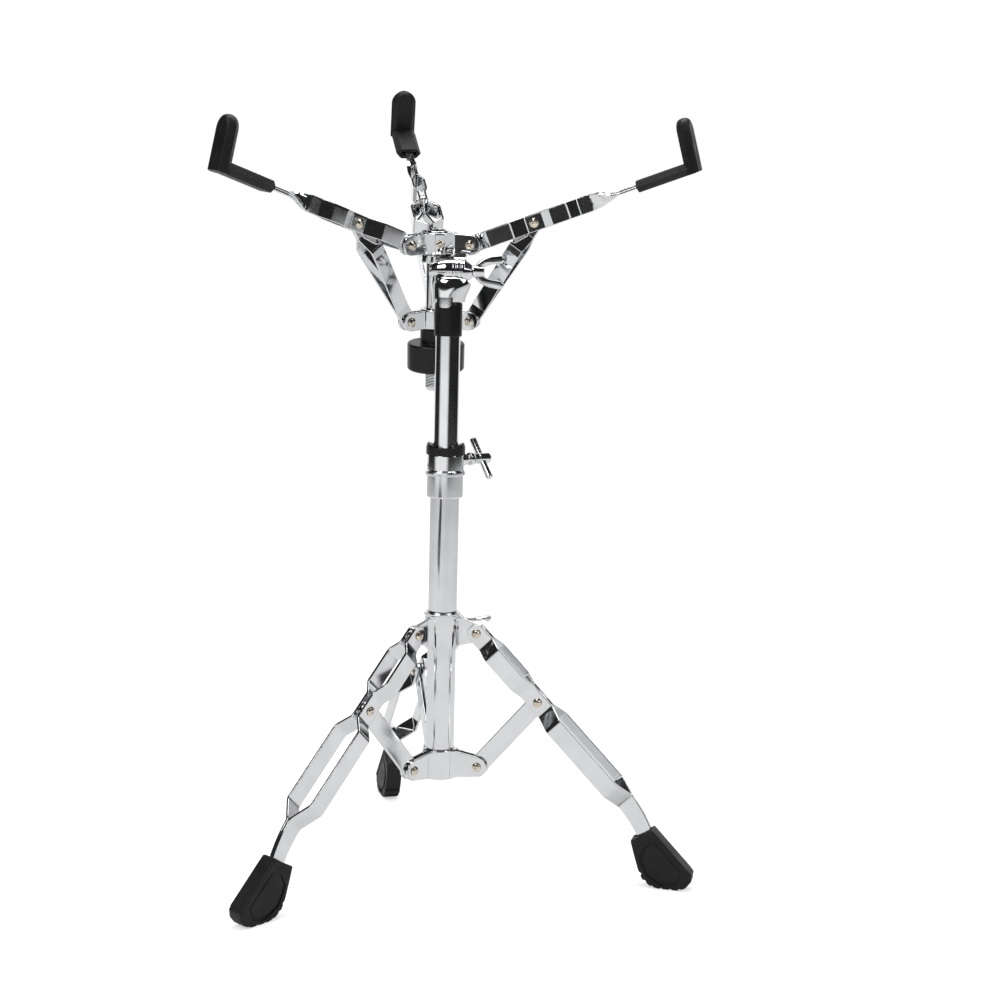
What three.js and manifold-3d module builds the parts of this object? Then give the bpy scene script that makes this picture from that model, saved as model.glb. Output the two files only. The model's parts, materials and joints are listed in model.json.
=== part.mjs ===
// Double-braced snare drum stand: a folding tripod, a telescoping column, a tilter and a
// three-armed basket that grips the drum. Millimetres, +Z up. While the parts are built the
// column stands on the Z axis with the floor at z = 0; the whole group is centred at the end.
import * as THREE from 'three';
import { mergeVertices } from 'three/addons/utils/BufferGeometryUtils.js';
import Module from 'manifold-3d';

const wasm = await Module();
wasm.setup();

const DEG = Math.PI / 180;
const GAP = 0.3; // between pieces that touch on the real stand
const FACETS = 36; // around a tube
const SMALL_FACETS = 12; // around a rivet, bolt or hole

// Column
const LOWER_TUBE = { outer: 11.1, inner: 9.9, bottom: 70.6, top: 312 };
const UPPER_TUBE = { outer: 9.525, inner: 8.2, bottom: 180, top: 447 };
const TUBE_BORE = LOWER_TUBE.outer + GAP; // of everything that slips over the lower tube
const UPPER_BORE = UPPER_TUBE.outer + GAP;
const SLEEVE = { outer: 10.6, bottom: 415.8, top: 441.5 };
const CLAMP = {
  bottom: 292, lip: 309.8, lipTop: 312.5, top: 325.1, flangeTop: 334.6,
  lowerRadius: 13.8, lipRadius: 15.3, upperRadius: 14.1, flangeRadius: 15,
  chamfer: 0.9, flangeRound: 1.2, funnel: 4.4, funnelWidth: 3,
};
const T_BOLT = {
  azimuth: 40, height: 320.6, shaft: 3.3, boss: 4.4, bossStart: 12.6, bossEnd: 20,
  head: 4.2, headLength: 8, end: 43, bar: 35.5, barRadius: 2.8, barLength: 37, barLean: 38,
};

// Tripod: each leg and its brace lie in one upright plane through the column axis
const LEGS = { right: -13.65, back: 106.35, left: 227.4 };
const LEG_PIVOT = { r: 28.6, z: 187.4 };
const LEG_SLOPE = 45.4; // degrees below the horizontal
const LEG_MID = 71; // along the leg, from its pivot to the brace's rivet
const BRACE_PIVOT = { r: 31.2, z: 81.6 };
const STRAP = { thickness: 2, width: 14.5 }; // leg straps and braces
const LUG_THICKNESS = 3.2; // what the leg straps hold between them
const LEG_COLLAR = {
  outer: 13.6, bottom: 173.5, top: 203.3, lugBottom: 175.5, lugTop: 200.3, lugRadius: 7.2,
};
const BASE_COLLAR = { outer: 13.5, bottom: 70.9, top: 94.2, earRadius: 8 };
const COLLAR_SCREW = { azimuth: 28, height: 194.2, radius: 1.9, boss: 4, bossEnd: 18, ball: 2.8, end: 40 };

// Tilter: a level barrel whose axis is parallel to X and crosses the column axis
const TILTER_Z = 465;
const TILTER_BOLT = { radius: 3, from: -10.6, to: 25, baseHoleEnd: 4, headHoleStart: -2, headHoleEnd: 22 };
const BARREL_FACETS = 32;
const WING_NUT = { hub: 4.6, from: 17.8, to: 26.5, wing: 3.6 };
const HEAD_RING = { outer: 12.6, height: 6.8 };
const HEAD_ARM_WIDTH = 9.6;
const HEAD_TIE = { reach: 10, depth: 9, height: 6.6, shift: 1, y: -8, lift: 0.1 }; // arm to ring

// Basket: a hub on a rod, placed and leaned as a whole
const BASKET_ORIGIN = new THREE.Vector3(-11.1, 36.5, 487.5);
const BASKET_LEAN = 9.79;
const SPOKES = { right: -18.46, back: 101.54, left: 223.3 };
const HUB = { outer: 13, half: 8.3, pivot: 28.5, earRadius: 7.9 };
const ROD = { outer: 8.5, inner: 6.4, top: 9.4, bottom: -117.5, tip: 3, tipStep: 1.6, chamfer: 1 };
const ROD_BORE = ROD.outer + GAP;
const SLIDER = { outer: 13, bottom: -67, top: -52, pivot: 28.8, pivotZ: -59.5, earRadius: 7.2 };
const KNOB = { neckTop: -67.4, neck: 12.5, top: -79.4, bottom: -100.9, outer: 22.7, round: 1.6 };
const HUB_SCREW = { azimuth: -78.5, radius: 3.2, height: 2.6 };
const ARM_SLOPE = 21.9; // degrees above the hub's plane
const ARM_MID = 55.1; // along the arm, from the hub pivot to the link's rivet
const THIN_STRAP = { thickness: 1.6, armWidth: 13, linkWidth: 12 };
const EAR = { inner: 2.05, thickness: 2, margin: 0.4 }; // the two ears that hold an arm or a link
const EAR_ROOT = 1.4; // how far an ear or lug reaches into its collar

// Rubber grip, along and across the arm: a sleeve, and an upright that leans out from it.
// Both are widest halfway through and narrower on their flat faces
const GRIP = {
  start: 141, end: 188.4, uprightStart: 178.4, half: 10.5, faceHalf: 7.2,
  under: -4.7, seat: 4.3, top: 35.3, lean: 6,
};
const HOOK = { at: 183.6, top: 26, half: 6.2, thickness: 2.6 }; // the arm's metal end in the grip
const HOOK_ROOM = 0.35; // around it

const RIVET = { shaft: 2.2, head: 3.6, headHeight: 1.7, crown: 0.6, crownDrop: 0.25, shoulder: 0.45 };
const RIVET_HOLE = RIVET.shaft + GAP;
const LOOSE_HOLE = 4.5; // where a brace or a link leaves its rivet room to shift as it folds
const THROUGH = 60; // long enough to drill through anything here
const PAST = 1; // how far a cut runs past the face that it leaves by

const chrome = { color: 0xd9dcde, metalness: 1, roughness: 0.12 };
const nickel = { color: 0xcbbfa4, metalness: 1, roughness: 0.3 };
const rubber = { color: 0x151515, metalness: 0, roughness: 0.8 };
const plastic = { color: 0x1b1b1d, metalness: 0, roughness: 0.5 };

const stand = new THREE.Group();

// Names a geometry and puts it in a group, with a material of its own
function add(parent, name, geometry, finish) {
  const mesh = new THREE.Mesh(geometry, new THREE.MeshStandardMaterial(finish));
  mesh.name = name;
  parent.add(mesh);
  return mesh;
}

function toSolid(geometry) {
  const bare = geometry.clone();
  bare.deleteAttribute('normal');
  bare.deleteAttribute('uv');
  const merged = mergeVertices(bare);
  return new wasm.Manifold(new wasm.Mesh({
    numProp: 3,
    vertProperties: Float32Array.from(merged.attributes.position.array),
    triVerts: Uint32Array.from(merged.index.array),
  }));
}

function toGeometry(solid) {
  const { vertProperties, triVerts } = solid.getMesh();
  const geometry = new THREE.BufferGeometry();
  geometry.setAttribute('position', new THREE.BufferAttribute(Float32Array.from(vertProperties), 3));
  geometry.setIndex(new THREE.BufferAttribute(Uint32Array.from(triVerts), 1));
  geometry.computeVertexNormals();
  return geometry;
}

// Joins the solids of the first list and cuts the second list from them
function build(pieces, cuts = []) {
  let solid = pieces.map(toSolid).reduce((whole, piece) => whole.add(piece));
  for (const cut of cuts) {
    solid = solid.subtract(toSolid(cut));
  }
  return toGeometry(solid);
}

function common(first, second) {
  return toGeometry(toSolid(first).intersect(toSolid(second)));
}

// A solid of revolution about Z. The outline is [radius, z] pairs, with the outside going up
function revolve(outline, facets = FACETS) {
  const points = outline.map(([radius, z]) => new THREE.Vector2(radius, z));
  return new THREE.LatheGeometry(points, facets).rotateX(Math.PI / 2);
}

function ring(inner, outer, bottom, top, facets = FACETS) {
  return revolve([[inner, bottom], [outer, bottom], [outer, top], [inner, top], [inner, bottom]], facets);
}

// A round bar along +X from x = from to x = to
function bar(radius, from, to, facets = SMALL_FACETS) {
  return new THREE.CylinderGeometry(radius, radius, to - from, facets)
    .rotateZ(-Math.PI / 2).translate((from + to) / 2, 0, 0);
}

// A round bar along Y, to drill a rivet hole with
function pin(radius, point) {
  return new THREE.CylinderGeometry(radius, radius, THROUGH, SMALL_FACETS).translate(point.r, 0, point.z);
}

// A flat plate in the XZ plane, centred on y
function plate(shape, thickness, y = 0) {
  return new THREE.ExtrudeGeometry(shape, { depth: thickness, bevelEnabled: false, curveSegments: 6 })
    .translate(0, 0, -thickness / 2).rotateX(Math.PI / 2).translate(0, y, 0);
}

function polygon(points) {
  return new THREE.Shape(points.map(([x, y]) => new THREE.Vector2(x, y)));
}

// An ear that leaves a collar at x = start and ends round its pivot
function earShape(start, bottom, top, pivot, radius) {
  const shape = new THREE.Shape();
  shape.moveTo(start, bottom);
  shape.lineTo(pivot.r, pivot.z - radius);
  shape.absarc(pivot.r, pivot.z, radius, -Math.PI / 2, Math.PI / 2, false);
  shape.lineTo(start, top);
  shape.closePath();
  return shape;
}

// A bar with both ends round, from pivot to pivot
function linkShape(length, width) {
  const shape = new THREE.Shape();
  shape.absarc(0, 0, width / 2, Math.PI / 2, Math.PI * 1.5, false);
  shape.absarc(length, 0, width / 2, -Math.PI / 2, Math.PI / 2, false);
  shape.closePath();
  return shape;
}

// The path moved sideways by a distance, with mitred corners
function offsetPath(path, distance) {
  const normal = (a, b) => new THREE.Vector2(a[1] - b[1], b[0] - a[0]).normalize();
  return path.map((point, i) => {
    const before = normal(path[Math.max(i - 1, 0)], path[Math.max(i, 1)]);
    const after = normal(path[Math.min(i, path.length - 2)], path[Math.min(i + 1, path.length - 1)]);
    const mitre = before.clone().add(after).normalize();
    const reach = distance / mitre.dot(before);
    return [point[0] + mitre.x * reach, point[1] + mitre.y * reach];
  });
}

// A strap bent along a path of [x, y] points and cut to a plan in the XZ plane
function bentStrap(path, thickness, plan) {
  const left = offsetPath(path, thickness / 2);
  const right = offsetPath(path, -thickness / 2);
  const bent = new THREE.ExtrudeGeometry(polygon([...right, ...left.reverse()]), {
    depth: THROUGH,
    bevelEnabled: false,
  }).translate(0, 0, -THROUGH / 2);
  return common(bent, plate(plan, THROUGH));
}

function mirrored(path) {
  return path.map(([x, y]) => [x, -y]);
}

// A rivet along Y with a domed head beyond each outer face
function rivet(halfGrip) {
  const inside = halfGrip + GAP;
  const outside = inside + RIVET.headHeight;
  const shoulder = inside + RIVET.headHeight * RIVET.shoulder;
  const crown = [RIVET.head * RIVET.crown, outside - RIVET.crownDrop];
  return revolve([
    [0, -outside], [crown[0], -crown[1]], [RIVET.head, -shoulder], [RIVET.head, -inside],
    [RIVET.shaft, -inside], [RIVET.shaft, inside],
    [RIVET.head, inside], [RIVET.head, shoulder], crown, [0, outside],
  ], SMALL_FACETS).rotateX(Math.PI / 2);
}

// A point at a distance along a slope, in a plane through an axis
function pointAlong(from, distance, slope) {
  return {
    r: from.r + distance * Math.cos(slope * DEG),
    z: from.z + distance * Math.sin(slope * DEG),
  };
}

// Length and slope (in degrees, up is positive) from one such point to another
function between(from, to) {
  return {
    length: Math.hypot(to.r - from.r, to.z - from.z),
    slope: Math.atan2(to.z - from.z, to.r - from.r) / DEG,
  };
}

// A group turned to one azimuth, where x runs outwards in that plane
function spoke(parent, azimuth) {
  const group = new THREE.Group();
  group.rotation.z = azimuth * DEG;
  parent.add(group);
  return group;
}

// Adds a piece at a point of the spoke's plane, sloping upwards by so many degrees
function addAt(parent, name, geometry, finish, point, slope = 0) {
  const mesh = add(parent, name, geometry, finish);
  mesh.position.set(point.r, 0, point.z);
  mesh.rotation.y = -slope * DEG;
}

// ---- Column ----

function addColumn() {
  const { bottom, top } = LOWER_TUBE;
  add(stand, 'lower_tube', ring(LOWER_TUBE.inner, LOWER_TUBE.outer, bottom, top), chrome);
  const upper = ring(UPPER_TUBE.inner, UPPER_TUBE.outer, UPPER_TUBE.bottom, UPPER_TUBE.top);
  add(stand, 'upper_tube', upper, chrome);
  add(stand, 'tube_sleeve', ring(UPPER_BORE, SLEEVE.outer, SLEEVE.bottom, SLEEVE.top), plastic);
}

// A bar along the radius at one azimuth and height
function radialBar(radius, from, to, place) {
  return bar(radius, from, to).rotateZ(place.azimuth * DEG).translate(0, 0, place.height);
}

function addClamp() {
  const { chamfer, funnel, funnelWidth, flangeRound } = CLAMP;
  const body = revolve([
    [TUBE_BORE, CLAMP.bottom], [CLAMP.lowerRadius - chamfer, CLAMP.bottom],
    [CLAMP.lowerRadius, CLAMP.bottom + chamfer], [CLAMP.lowerRadius, CLAMP.lip],
    [CLAMP.lipRadius, CLAMP.lip], [CLAMP.lipRadius, CLAMP.lipTop], [CLAMP.upperRadius, CLAMP.lipTop],
    [CLAMP.upperRadius, CLAMP.top], [TUBE_BORE, CLAMP.top], [TUBE_BORE, CLAMP.bottom],
  ]);
  const boss = radialBar(T_BOLT.boss, T_BOLT.bossStart, T_BOLT.bossEnd, T_BOLT);
  const bore = radialBar(T_BOLT.shaft + GAP, LOWER_TUBE.inner, T_BOLT.bossEnd + PAST, T_BOLT);
  add(stand, 'clamp_body', build([body, boss], [bore]), chrome);

  // The plastic bushing guides the upper tube and is what the T-bolt presses
  const foot = CLAMP.lipTop + GAP;
  const shoulder = CLAMP.top + GAP;
  const rim = CLAMP.flangeTop;
  add(stand, 'clamp_bushing', revolve([
    [UPPER_BORE, foot], [LOWER_TUBE.outer, foot], [LOWER_TUBE.outer, shoulder],
    [CLAMP.flangeRadius, shoulder], [CLAMP.flangeRadius, rim - flangeRound],
    [CLAMP.flangeRadius - flangeRound, rim], [UPPER_BORE + funnelWidth, rim],
    [UPPER_BORE, rim - funnel],
    [UPPER_BORE, foot],
  ]), plastic);

  const shaft = bar(T_BOLT.shaft, LOWER_TUBE.outer + GAP, T_BOLT.bar);
  const head = bar(T_BOLT.head, T_BOLT.bar - T_BOLT.headLength, T_BOLT.end);
  const straight = T_BOLT.barLength - T_BOLT.barRadius * 2;
  const handle = new THREE.CapsuleGeometry(T_BOLT.barRadius, straight, 4, SMALL_FACETS)
    .rotateX((90 - T_BOLT.barLean) * DEG).translate(T_BOLT.bar, 0, 0);
  const group = spoke(stand, T_BOLT.azimuth);
  addAt(group, 'clamp_t_bolt', build([shaft, head, handle]), chrome, { r: 0, z: T_BOLT.height });
}

// ---- Tripod ----

const LEG_MID_POINT = pointAlong(LEG_PIVOT, LEG_MID, -LEG_SLOPE);

function addLegCollar() {
  const body = ring(TUBE_BORE, LEG_COLLAR.outer, LEG_COLLAR.bottom, LEG_COLLAR.top);
  const root = LEG_COLLAR.outer - EAR_ROOT;
  const lug = earShape(root, LEG_COLLAR.lugBottom, LEG_COLLAR.lugTop, LEG_PIVOT, LEG_COLLAR.lugRadius);
  const boss = radialBar(COLLAR_SCREW.boss, root, COLLAR_SCREW.bossEnd, COLLAR_SCREW);
  const boreEnd = COLLAR_SCREW.bossEnd + PAST;
  const bore = radialBar(COLLAR_SCREW.radius + GAP, LOWER_TUBE.inner, boreEnd, COLLAR_SCREW);
  const azimuths = Object.values(LEGS);
  const lugs = azimuths.map((azimuth) => plate(lug, LUG_THICKNESS).rotateZ(azimuth * DEG));
  const holes = azimuths.map((azimuth) => pin(RIVET_HOLE, LEG_PIVOT).rotateZ(azimuth * DEG));
  add(stand, 'leg_collar', build([body, ...lugs, boss], [...holes, bore]), chrome);

  const shaft = bar(COLLAR_SCREW.radius, TUBE_BORE, COLLAR_SCREW.end);
  const ball = new THREE.SphereGeometry(COLLAR_SCREW.ball, SMALL_FACETS, SMALL_FACETS)
    .translate(COLLAR_SCREW.end, 0, 0);
  const group = spoke(stand, COLLAR_SCREW.azimuth);
  addAt(group, 'leg_collar_screw', build([shaft, ball]), chrome, { r: 0, z: COLLAR_SCREW.height });
}

// Two thin ears, one on each side of what a pivot holds
function earPair(shape, azimuth) {
  const middle = EAR.inner + EAR.thickness / 2;
  return [-middle, middle].map((y) => plate(shape, EAR.thickness, y).rotateZ(azimuth * DEG));
}

// A collar with a pair of drilled ears at each azimuth
function earedCollar(bore, collar, pivot, azimuths) {
  const body = ring(bore, collar.outer, collar.bottom, collar.top);
  const root = collar.outer - EAR_ROOT;
  const shape = earShape(root, collar.bottom + EAR.margin, collar.top - EAR.margin, pivot, collar.earRadius);
  const ears = azimuths.flatMap((azimuth) => earPair(shape, azimuth));
  const holes = azimuths.map((azimuth) => pin(RIVET_HOLE, pivot).rotateZ(azimuth * DEG));
  return build([body, ...ears], holes);
}

function addBaseCollar() {
  const collar = earedCollar(TUBE_BORE, BASE_COLLAR, BRACE_PIVOT, Object.values(LEGS));
  add(stand, 'base_collar', collar, chrome);
}

// Side offset of a leg strap: pinched at the collar, at the brace and where both enter the foot
const PINCH = LUG_THICKNESS / 2 + GAP + STRAP.thickness / 2;
const MERGED = GAP / 2 + STRAP.thickness / 2;
const LEG_PATH = [
  [-9, PINCH], [12, PINCH], [20, 9.5], [50, 9.5], [59, PINCH], [81, PINCH],
  [92, 12.8], [157, 12.8], [172, MERGED], [230, MERGED],
];

// Outline of a leg strap: round at the collar, drawn in and turned down towards the foot
function legPlan() {
  const half = STRAP.width / 2;
  const straightEnd = 168;
  const shape = new THREE.Shape();
  shape.absarc(0, 0, half, Math.PI / 2, Math.PI * 1.5, false);
  shape.lineTo(straightEnd, -half);
  shape.quadraticCurveTo(184, -half, 198, -11.6);
  shape.lineTo(222, -17);
  shape.lineTo(225, -6.5);
  shape.lineTo(202, -0.4);
  shape.quadraticCurveTo(186, half - 1, straightEnd, half);
  shape.closePath();
  return shape;
}

// Outline of the rubber foot in the leg's plane, as [radius, height] from the column and floor
const FOOT_OUTLINE = [
  [154.5, 36], [157, 27], [161, 14], [166, 4.6], [171.5, 1.2], [176.5, 0], [192.5, 0],
  [197.6, 2.2], [201.4, 6.6], [202.8, 13.4], [171, 46], [164.4, 41.4],
];
const FOOT_THICKNESS = 15;
// The slot that the merged straps fill, along and across the leg
const FOOT_POCKET = [[184, -12], [223.4, -18], [226, -5.6], [190, 4.2]];

function footGeometry() {
  const boot = plate(polygon(FOOT_OUTLINE), FOOT_THICKNESS);
  const pocketWidth = (MERGED + STRAP.thickness / 2 + GAP) * 2;
  const cut = plate(polygon(FOOT_POCKET), pocketWidth).rotateY(LEG_SLOPE * DEG)
    .translate(LEG_PIVOT.r, 0, LEG_PIVOT.z);
  return build([boot], [cut]);
}

function braceGeometry(length) {
  const holes = [pin(RIVET_HOLE, { r: 0, z: 0 }), pin(LOOSE_HOLE, { r: length, z: 0 })];
  return build([plate(linkShape(length, STRAP.width), LUG_THICKNESS)], holes);
}

function addLeg(side, azimuth) {
  const group = spoke(stand, azimuth);
  const plan = legPlan();
  const holes = [pin(RIVET_HOLE, { r: 0, z: 0 }), pin(RIVET_HOLE, { r: LEG_MID, z: 0 })];
  for (const [letter, path] of [['a', LEG_PATH], ['b', mirrored(LEG_PATH)]]) {
    const strap = build([bentStrap(path, STRAP.thickness, plan)], holes);
    addAt(group, `leg_${side}_strap_${letter}`, strap, chrome, LEG_PIVOT, -LEG_SLOPE);
  }
  add(group, `foot_${side}`, footGeometry(), rubber);

  const halfGrip = PINCH + STRAP.thickness / 2;
  addAt(group, `leg_top_rivet_${side}`, rivet(halfGrip), nickel, LEG_PIVOT);
  addAt(group, `leg_mid_rivet_${side}`, rivet(halfGrip), nickel, LEG_MID_POINT);

  const brace = between(BRACE_PIVOT, LEG_MID_POINT);
  addAt(group, `brace_${side}`, braceGeometry(brace.length), chrome, BRACE_PIVOT, brace.slope);
  addAt(group, `brace_rivet_${side}`, rivet(EAR.inner + EAR.thickness), nickel, BRACE_PIVOT);
}

// ---- Tilter ----

// Barrel halves, as [radius, distance along the barrel's axis]
const DOME_OUTLINE = [
  [0, -15.4], [4.6, -15.1], [6.6, -13], [8.2, -9.5], [8.8, -6], [9.6, -5], [9.6, -0.4], [0, -0.4],
];
const CONE_OUTLINE = [
  [0, GAP], [9.6, GAP], [9.6, 6.4], [8.6, 7.4], [8.4, 9], [4.4, 17.4], [0, 17.4],
];
const SOCKET = {
  outer: 12.8, lip: 12.2, bottom: SLEEVE.top + GAP, lipHeight: 4.7, top: 452, depth: 5.5,
};
// The block between the socket and the barrel, as [x, z]
const CRADLE_OUTLINE = [
  [-12.4, 445], [12.4, 445], [17.4, 455], [-0.4, 455], [-0.4, 463], [-13, 463], [-14.6, 455],
];
const CRADLE_DEPTH = 17;

// The fixed half: a socket on the tube, a cradle and the left half of the barrel
function addTilterBase() {
  const socket = revolve([
    [0, SOCKET.bottom], [SOCKET.lip, SOCKET.bottom], [SOCKET.outer, SOCKET.bottom + SOCKET.lipHeight],
    [SOCKET.outer, SOCKET.top], [0, SOCKET.top],
  ]);
  const cradle = plate(polygon(CRADLE_OUTLINE), CRADLE_DEPTH);
  const dome = revolve(DOME_OUTLINE, BARREL_FACETS).rotateY(Math.PI / 2).translate(0, 0, TILTER_Z);
  const boltHole = bar(TILTER_BOLT.radius + GAP, TILTER_BOLT.from - GAP, TILTER_BOLT.baseHoleEnd)
    .translate(0, 0, TILTER_Z);
  const tubeHole = revolve([
    [0, SOCKET.bottom - PAST], [UPPER_BORE, SOCKET.bottom - PAST],
    [UPPER_BORE, SOCKET.bottom + SOCKET.depth], [0, SOCKET.bottom + SOCKET.depth],
  ]);
  add(stand, 'tilter_base', build([socket, cradle, dome], [boltHole, tubeHole]), chrome);
}

// A flat plate in the YZ plane, from x = from to x = from + thickness
function uprightPlate(shape, from, thickness, steps = 1) {
  const { Matrix4, Vector3 } = THREE;
  const stoodUp = new Matrix4().makeBasis(new Vector3(0, 1, 0), new Vector3(0, 0, 1), new Vector3(1, 0, 0));
  return new THREE.ExtrudeGeometry(shape, {
    depth: thickness,
    steps,
    bevelEnabled: false,
    curveSegments: SMALL_FACETS,
  }).applyMatrix4(stoodUp).translate(from, 0, 0);
}

// The moving half, in the basket's own frame: the right half of the barrel and an arm that
// ends in a flat ring under the hub
function addTilterHead(basket) {
  const axis = new THREE.Vector3(0, 0, TILTER_Z).sub(BASKET_ORIGIN)
    .applyAxisAngle(new THREE.Vector3(1, 0, 0), -BASKET_LEAN * DEG);
  const cone = revolve(CONE_OUTLINE, BARREL_FACETS).rotateY(Math.PI / 2).translate(axis.x, axis.y, axis.z);
  const top = -HUB.half - GAP;
  const bottom = top - HEAD_RING.height;
  const collar = ring(ROD_BORE, HEAD_RING.outer, bottom, top);
  const side = polygon([
    [axis.y - 3, axis.z + 7], [axis.y + 1, axis.z + 10.5], [-16, axis.z + 10.5], [-16, top],
    [-5, top], [-5, bottom], [-26, bottom - 1.2], [axis.y, axis.z - 4],
  ]);
  const arm = uprightPlate(side, axis.x + GAP, HEAD_ARM_WIDTH);
  const tie = new THREE.BoxGeometry(axis.x + HEAD_TIE.reach, HEAD_TIE.depth, HEAD_TIE.height)
    .translate(axis.x / 2 + HEAD_TIE.shift, HEAD_TIE.y, (top + bottom) / 2 + HEAD_TIE.lift);
  const boltHole = bar(TILTER_BOLT.radius + GAP, TILTER_BOLT.headHoleStart, TILTER_BOLT.headHoleEnd)
    .translate(axis.x, axis.y, axis.z);
  const rodHole = revolve([
    [0, bottom - PAST], [ROD_BORE, bottom - PAST], [ROD_BORE, top + PAST], [0, top + PAST],
  ]);
  add(basket, 'tilter_head', build([cone, collar, arm, tie], [boltHole, rodHole]), chrome);
}

// One wing of the nut, as an outline that sweeps up and outwards from the hub
function wingShape() {
  const shape = new THREE.Shape();
  shape.moveTo(19, 2);
  shape.lineTo(25.4, 2);
  shape.quadraticCurveTo(26.4, 5.6, 38.6, 6.4);
  shape.absarc(38.4, 9.6, 3.2, -Math.PI / 2, Math.PI / 2, false);
  shape.quadraticCurveTo(21, 11.6, 19, 2);
  return shape;
}

function addTilterBolt() {
  const bolt = bar(TILTER_BOLT.radius, TILTER_BOLT.from, TILTER_BOLT.to).translate(0, 0, TILTER_Z);
  add(stand, 'tilter_bolt', bolt, chrome);

  const hub = bar(WING_NUT.hub, WING_NUT.from, WING_NUT.to, BARREL_FACETS);
  const upper = plate(wingShape(), WING_NUT.wing);
  const lower = plate(wingShape(), WING_NUT.wing).rotateX(Math.PI);
  const bore = bar(TILTER_BOLT.radius + GAP, WING_NUT.from - PAST, WING_NUT.to + PAST);
  const nut = build([hub, upper, lower], [bore]).translate(0, 0, TILTER_Z);
  add(stand, 'tilter_wing_nut', nut, chrome);
}

// ---- Basket ----

const HUB_PIVOT = { r: HUB.pivot, z: 0 };
const SLIDER_PIVOT = { r: SLIDER.pivot, z: SLIDER.pivotZ };
const ARM_MID_POINT = pointAlong(HUB_PIVOT, ARM_MID, ARM_SLOPE);

function addBasketCore(basket) {
  const azimuths = Object.values(SPOKES);
  const hub = { ...HUB, bottom: -HUB.half, top: HUB.half };
  add(basket, 'basket_hub', earedCollar(ROD_BORE, hub, HUB_PIVOT, azimuths), chrome);
  add(basket, 'basket_collar', earedCollar(ROD_BORE, SLIDER, SLIDER_PIVOT, azimuths), chrome);

  add(basket, 'basket_rod', revolve([
    [ROD.inner, ROD.bottom], [ROD.outer - ROD.tipStep, ROD.bottom], [ROD.outer, ROD.bottom + ROD.tip],
    [ROD.outer, ROD.top - ROD.chamfer], [ROD.outer - ROD.chamfer, ROD.top],
    [ROD.inner, ROD.top], [ROD.inner, ROD.bottom],
  ]), chrome);

  const { round } = KNOB;
  add(basket, 'basket_knob', revolve([
    [ROD_BORE, KNOB.bottom], [KNOB.outer - round, KNOB.bottom], [KNOB.outer, KNOB.bottom + round],
    [KNOB.outer, KNOB.top - round], [KNOB.outer - round, KNOB.top], [KNOB.neck, KNOB.top],
    [KNOB.neck, KNOB.neckTop], [ROD_BORE, KNOB.neckTop], [ROD_BORE, KNOB.bottom],
  ]), plastic);

  // A small screw between the two front pairs of ears
  const seat = HUB.outer + GAP;
  const screw = bar(HUB_SCREW.radius, seat, seat + HUB_SCREW.height, BARREL_FACETS);
  addAt(spoke(basket, HUB_SCREW.azimuth), 'hub_screw', screw, nickel, { r: 0, z: 0 });
}

// Side offset of an arm strap. The two are welded together at the hub and towards the grip,
// and stand apart between, so that the link folds up inside them
const ARM_WELD = THIN_STRAP.thickness / 2 - 0.05;
const ARM_MID_OFFSET = GAP * 1.5 + THIN_STRAP.thickness * 1.5;
const ARM_END = 104;
const ARM_PATH = [
  [-8, ARM_WELD], [9, ARM_WELD], [17, 11.5], [39.5, 11.5], [48, ARM_MID_OFFSET], [63, ARM_MID_OFFSET],
  [70, 5], [84, 5], [92, ARM_WELD], [ARM_END, ARM_WELD],
];
// The strap past the weld turns from upright to flat and narrows
const TWIST = { start: 101, end: 144, turned: 0.6, thickness: 2.9, narrowed: 0.52, steps: 14 };

function twistedStrap() {
  const length = TWIST.end - TWIST.start;
  const width = THIN_STRAP.armWidth - 0.2;
  const geometry = new THREE.BoxGeometry(length, TWIST.thickness, width, TWIST.steps, 1, 1);
  const position = geometry.attributes.position;
  const corner = new THREE.Vector3();
  for (let i = 0; i < position.count; i += 1) {
    corner.fromBufferAttribute(position, i);
    const share = Math.min(Math.max((corner.x / length + 0.5) / TWIST.turned, 0), 1);
    corner.z *= 1 - share * (1 - TWIST.narrowed);
    corner.applyAxisAngle(new THREE.Vector3(1, 0, 0), share * 90 * DEG);
    position.setXYZ(i, corner.x, corner.y, corner.z);
  }
  return geometry.translate((TWIST.start + TWIST.end) / 2, 0, 0);
}

// Leans what stands at the grip's end outwards, about the bottom of its outer face
function leaned(geometry) {
  return geometry.translate(-GRIP.end, 0, -GRIP.under).rotateY(GRIP.lean * DEG)
    .translate(GRIP.end, 0, GRIP.under);
}

// The flat metal hook inside the grip, or with some room around it the pocket for it
function hookPieces(from, room) {
  const width = (HOOK.half + room) * 2;
  const thickness = HOOK.thickness + room * 2;
  const length = HOOK.at + thickness / 2 - from;
  const flat = new THREE.BoxGeometry(length, width, thickness).translate(from + length / 2, 0, 0);
  const height = HOOK.top + room + thickness / 2;
  const upright = new THREE.BoxGeometry(thickness, width, height)
    .translate(HOOK.at, 0, (height - thickness) / 2);
  return [flat, leaned(upright)];
}

function armGeometry() {
  const plan = linkShape(ARM_END - THIN_STRAP.armWidth / 2 + 2, THIN_STRAP.armWidth);
  const straps = [ARM_PATH, mirrored(ARM_PATH)].map((path) => bentStrap(path, THIN_STRAP.thickness, plan));
  const holes = [pin(RIVET_HOLE, { r: 0, z: 0 }), pin(RIVET_HOLE, { r: ARM_MID, z: 0 })];
  return build([...straps, twistedStrap(), ...hookPieces(TWIST.end - 0.5, 0)], holes);
}

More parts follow.
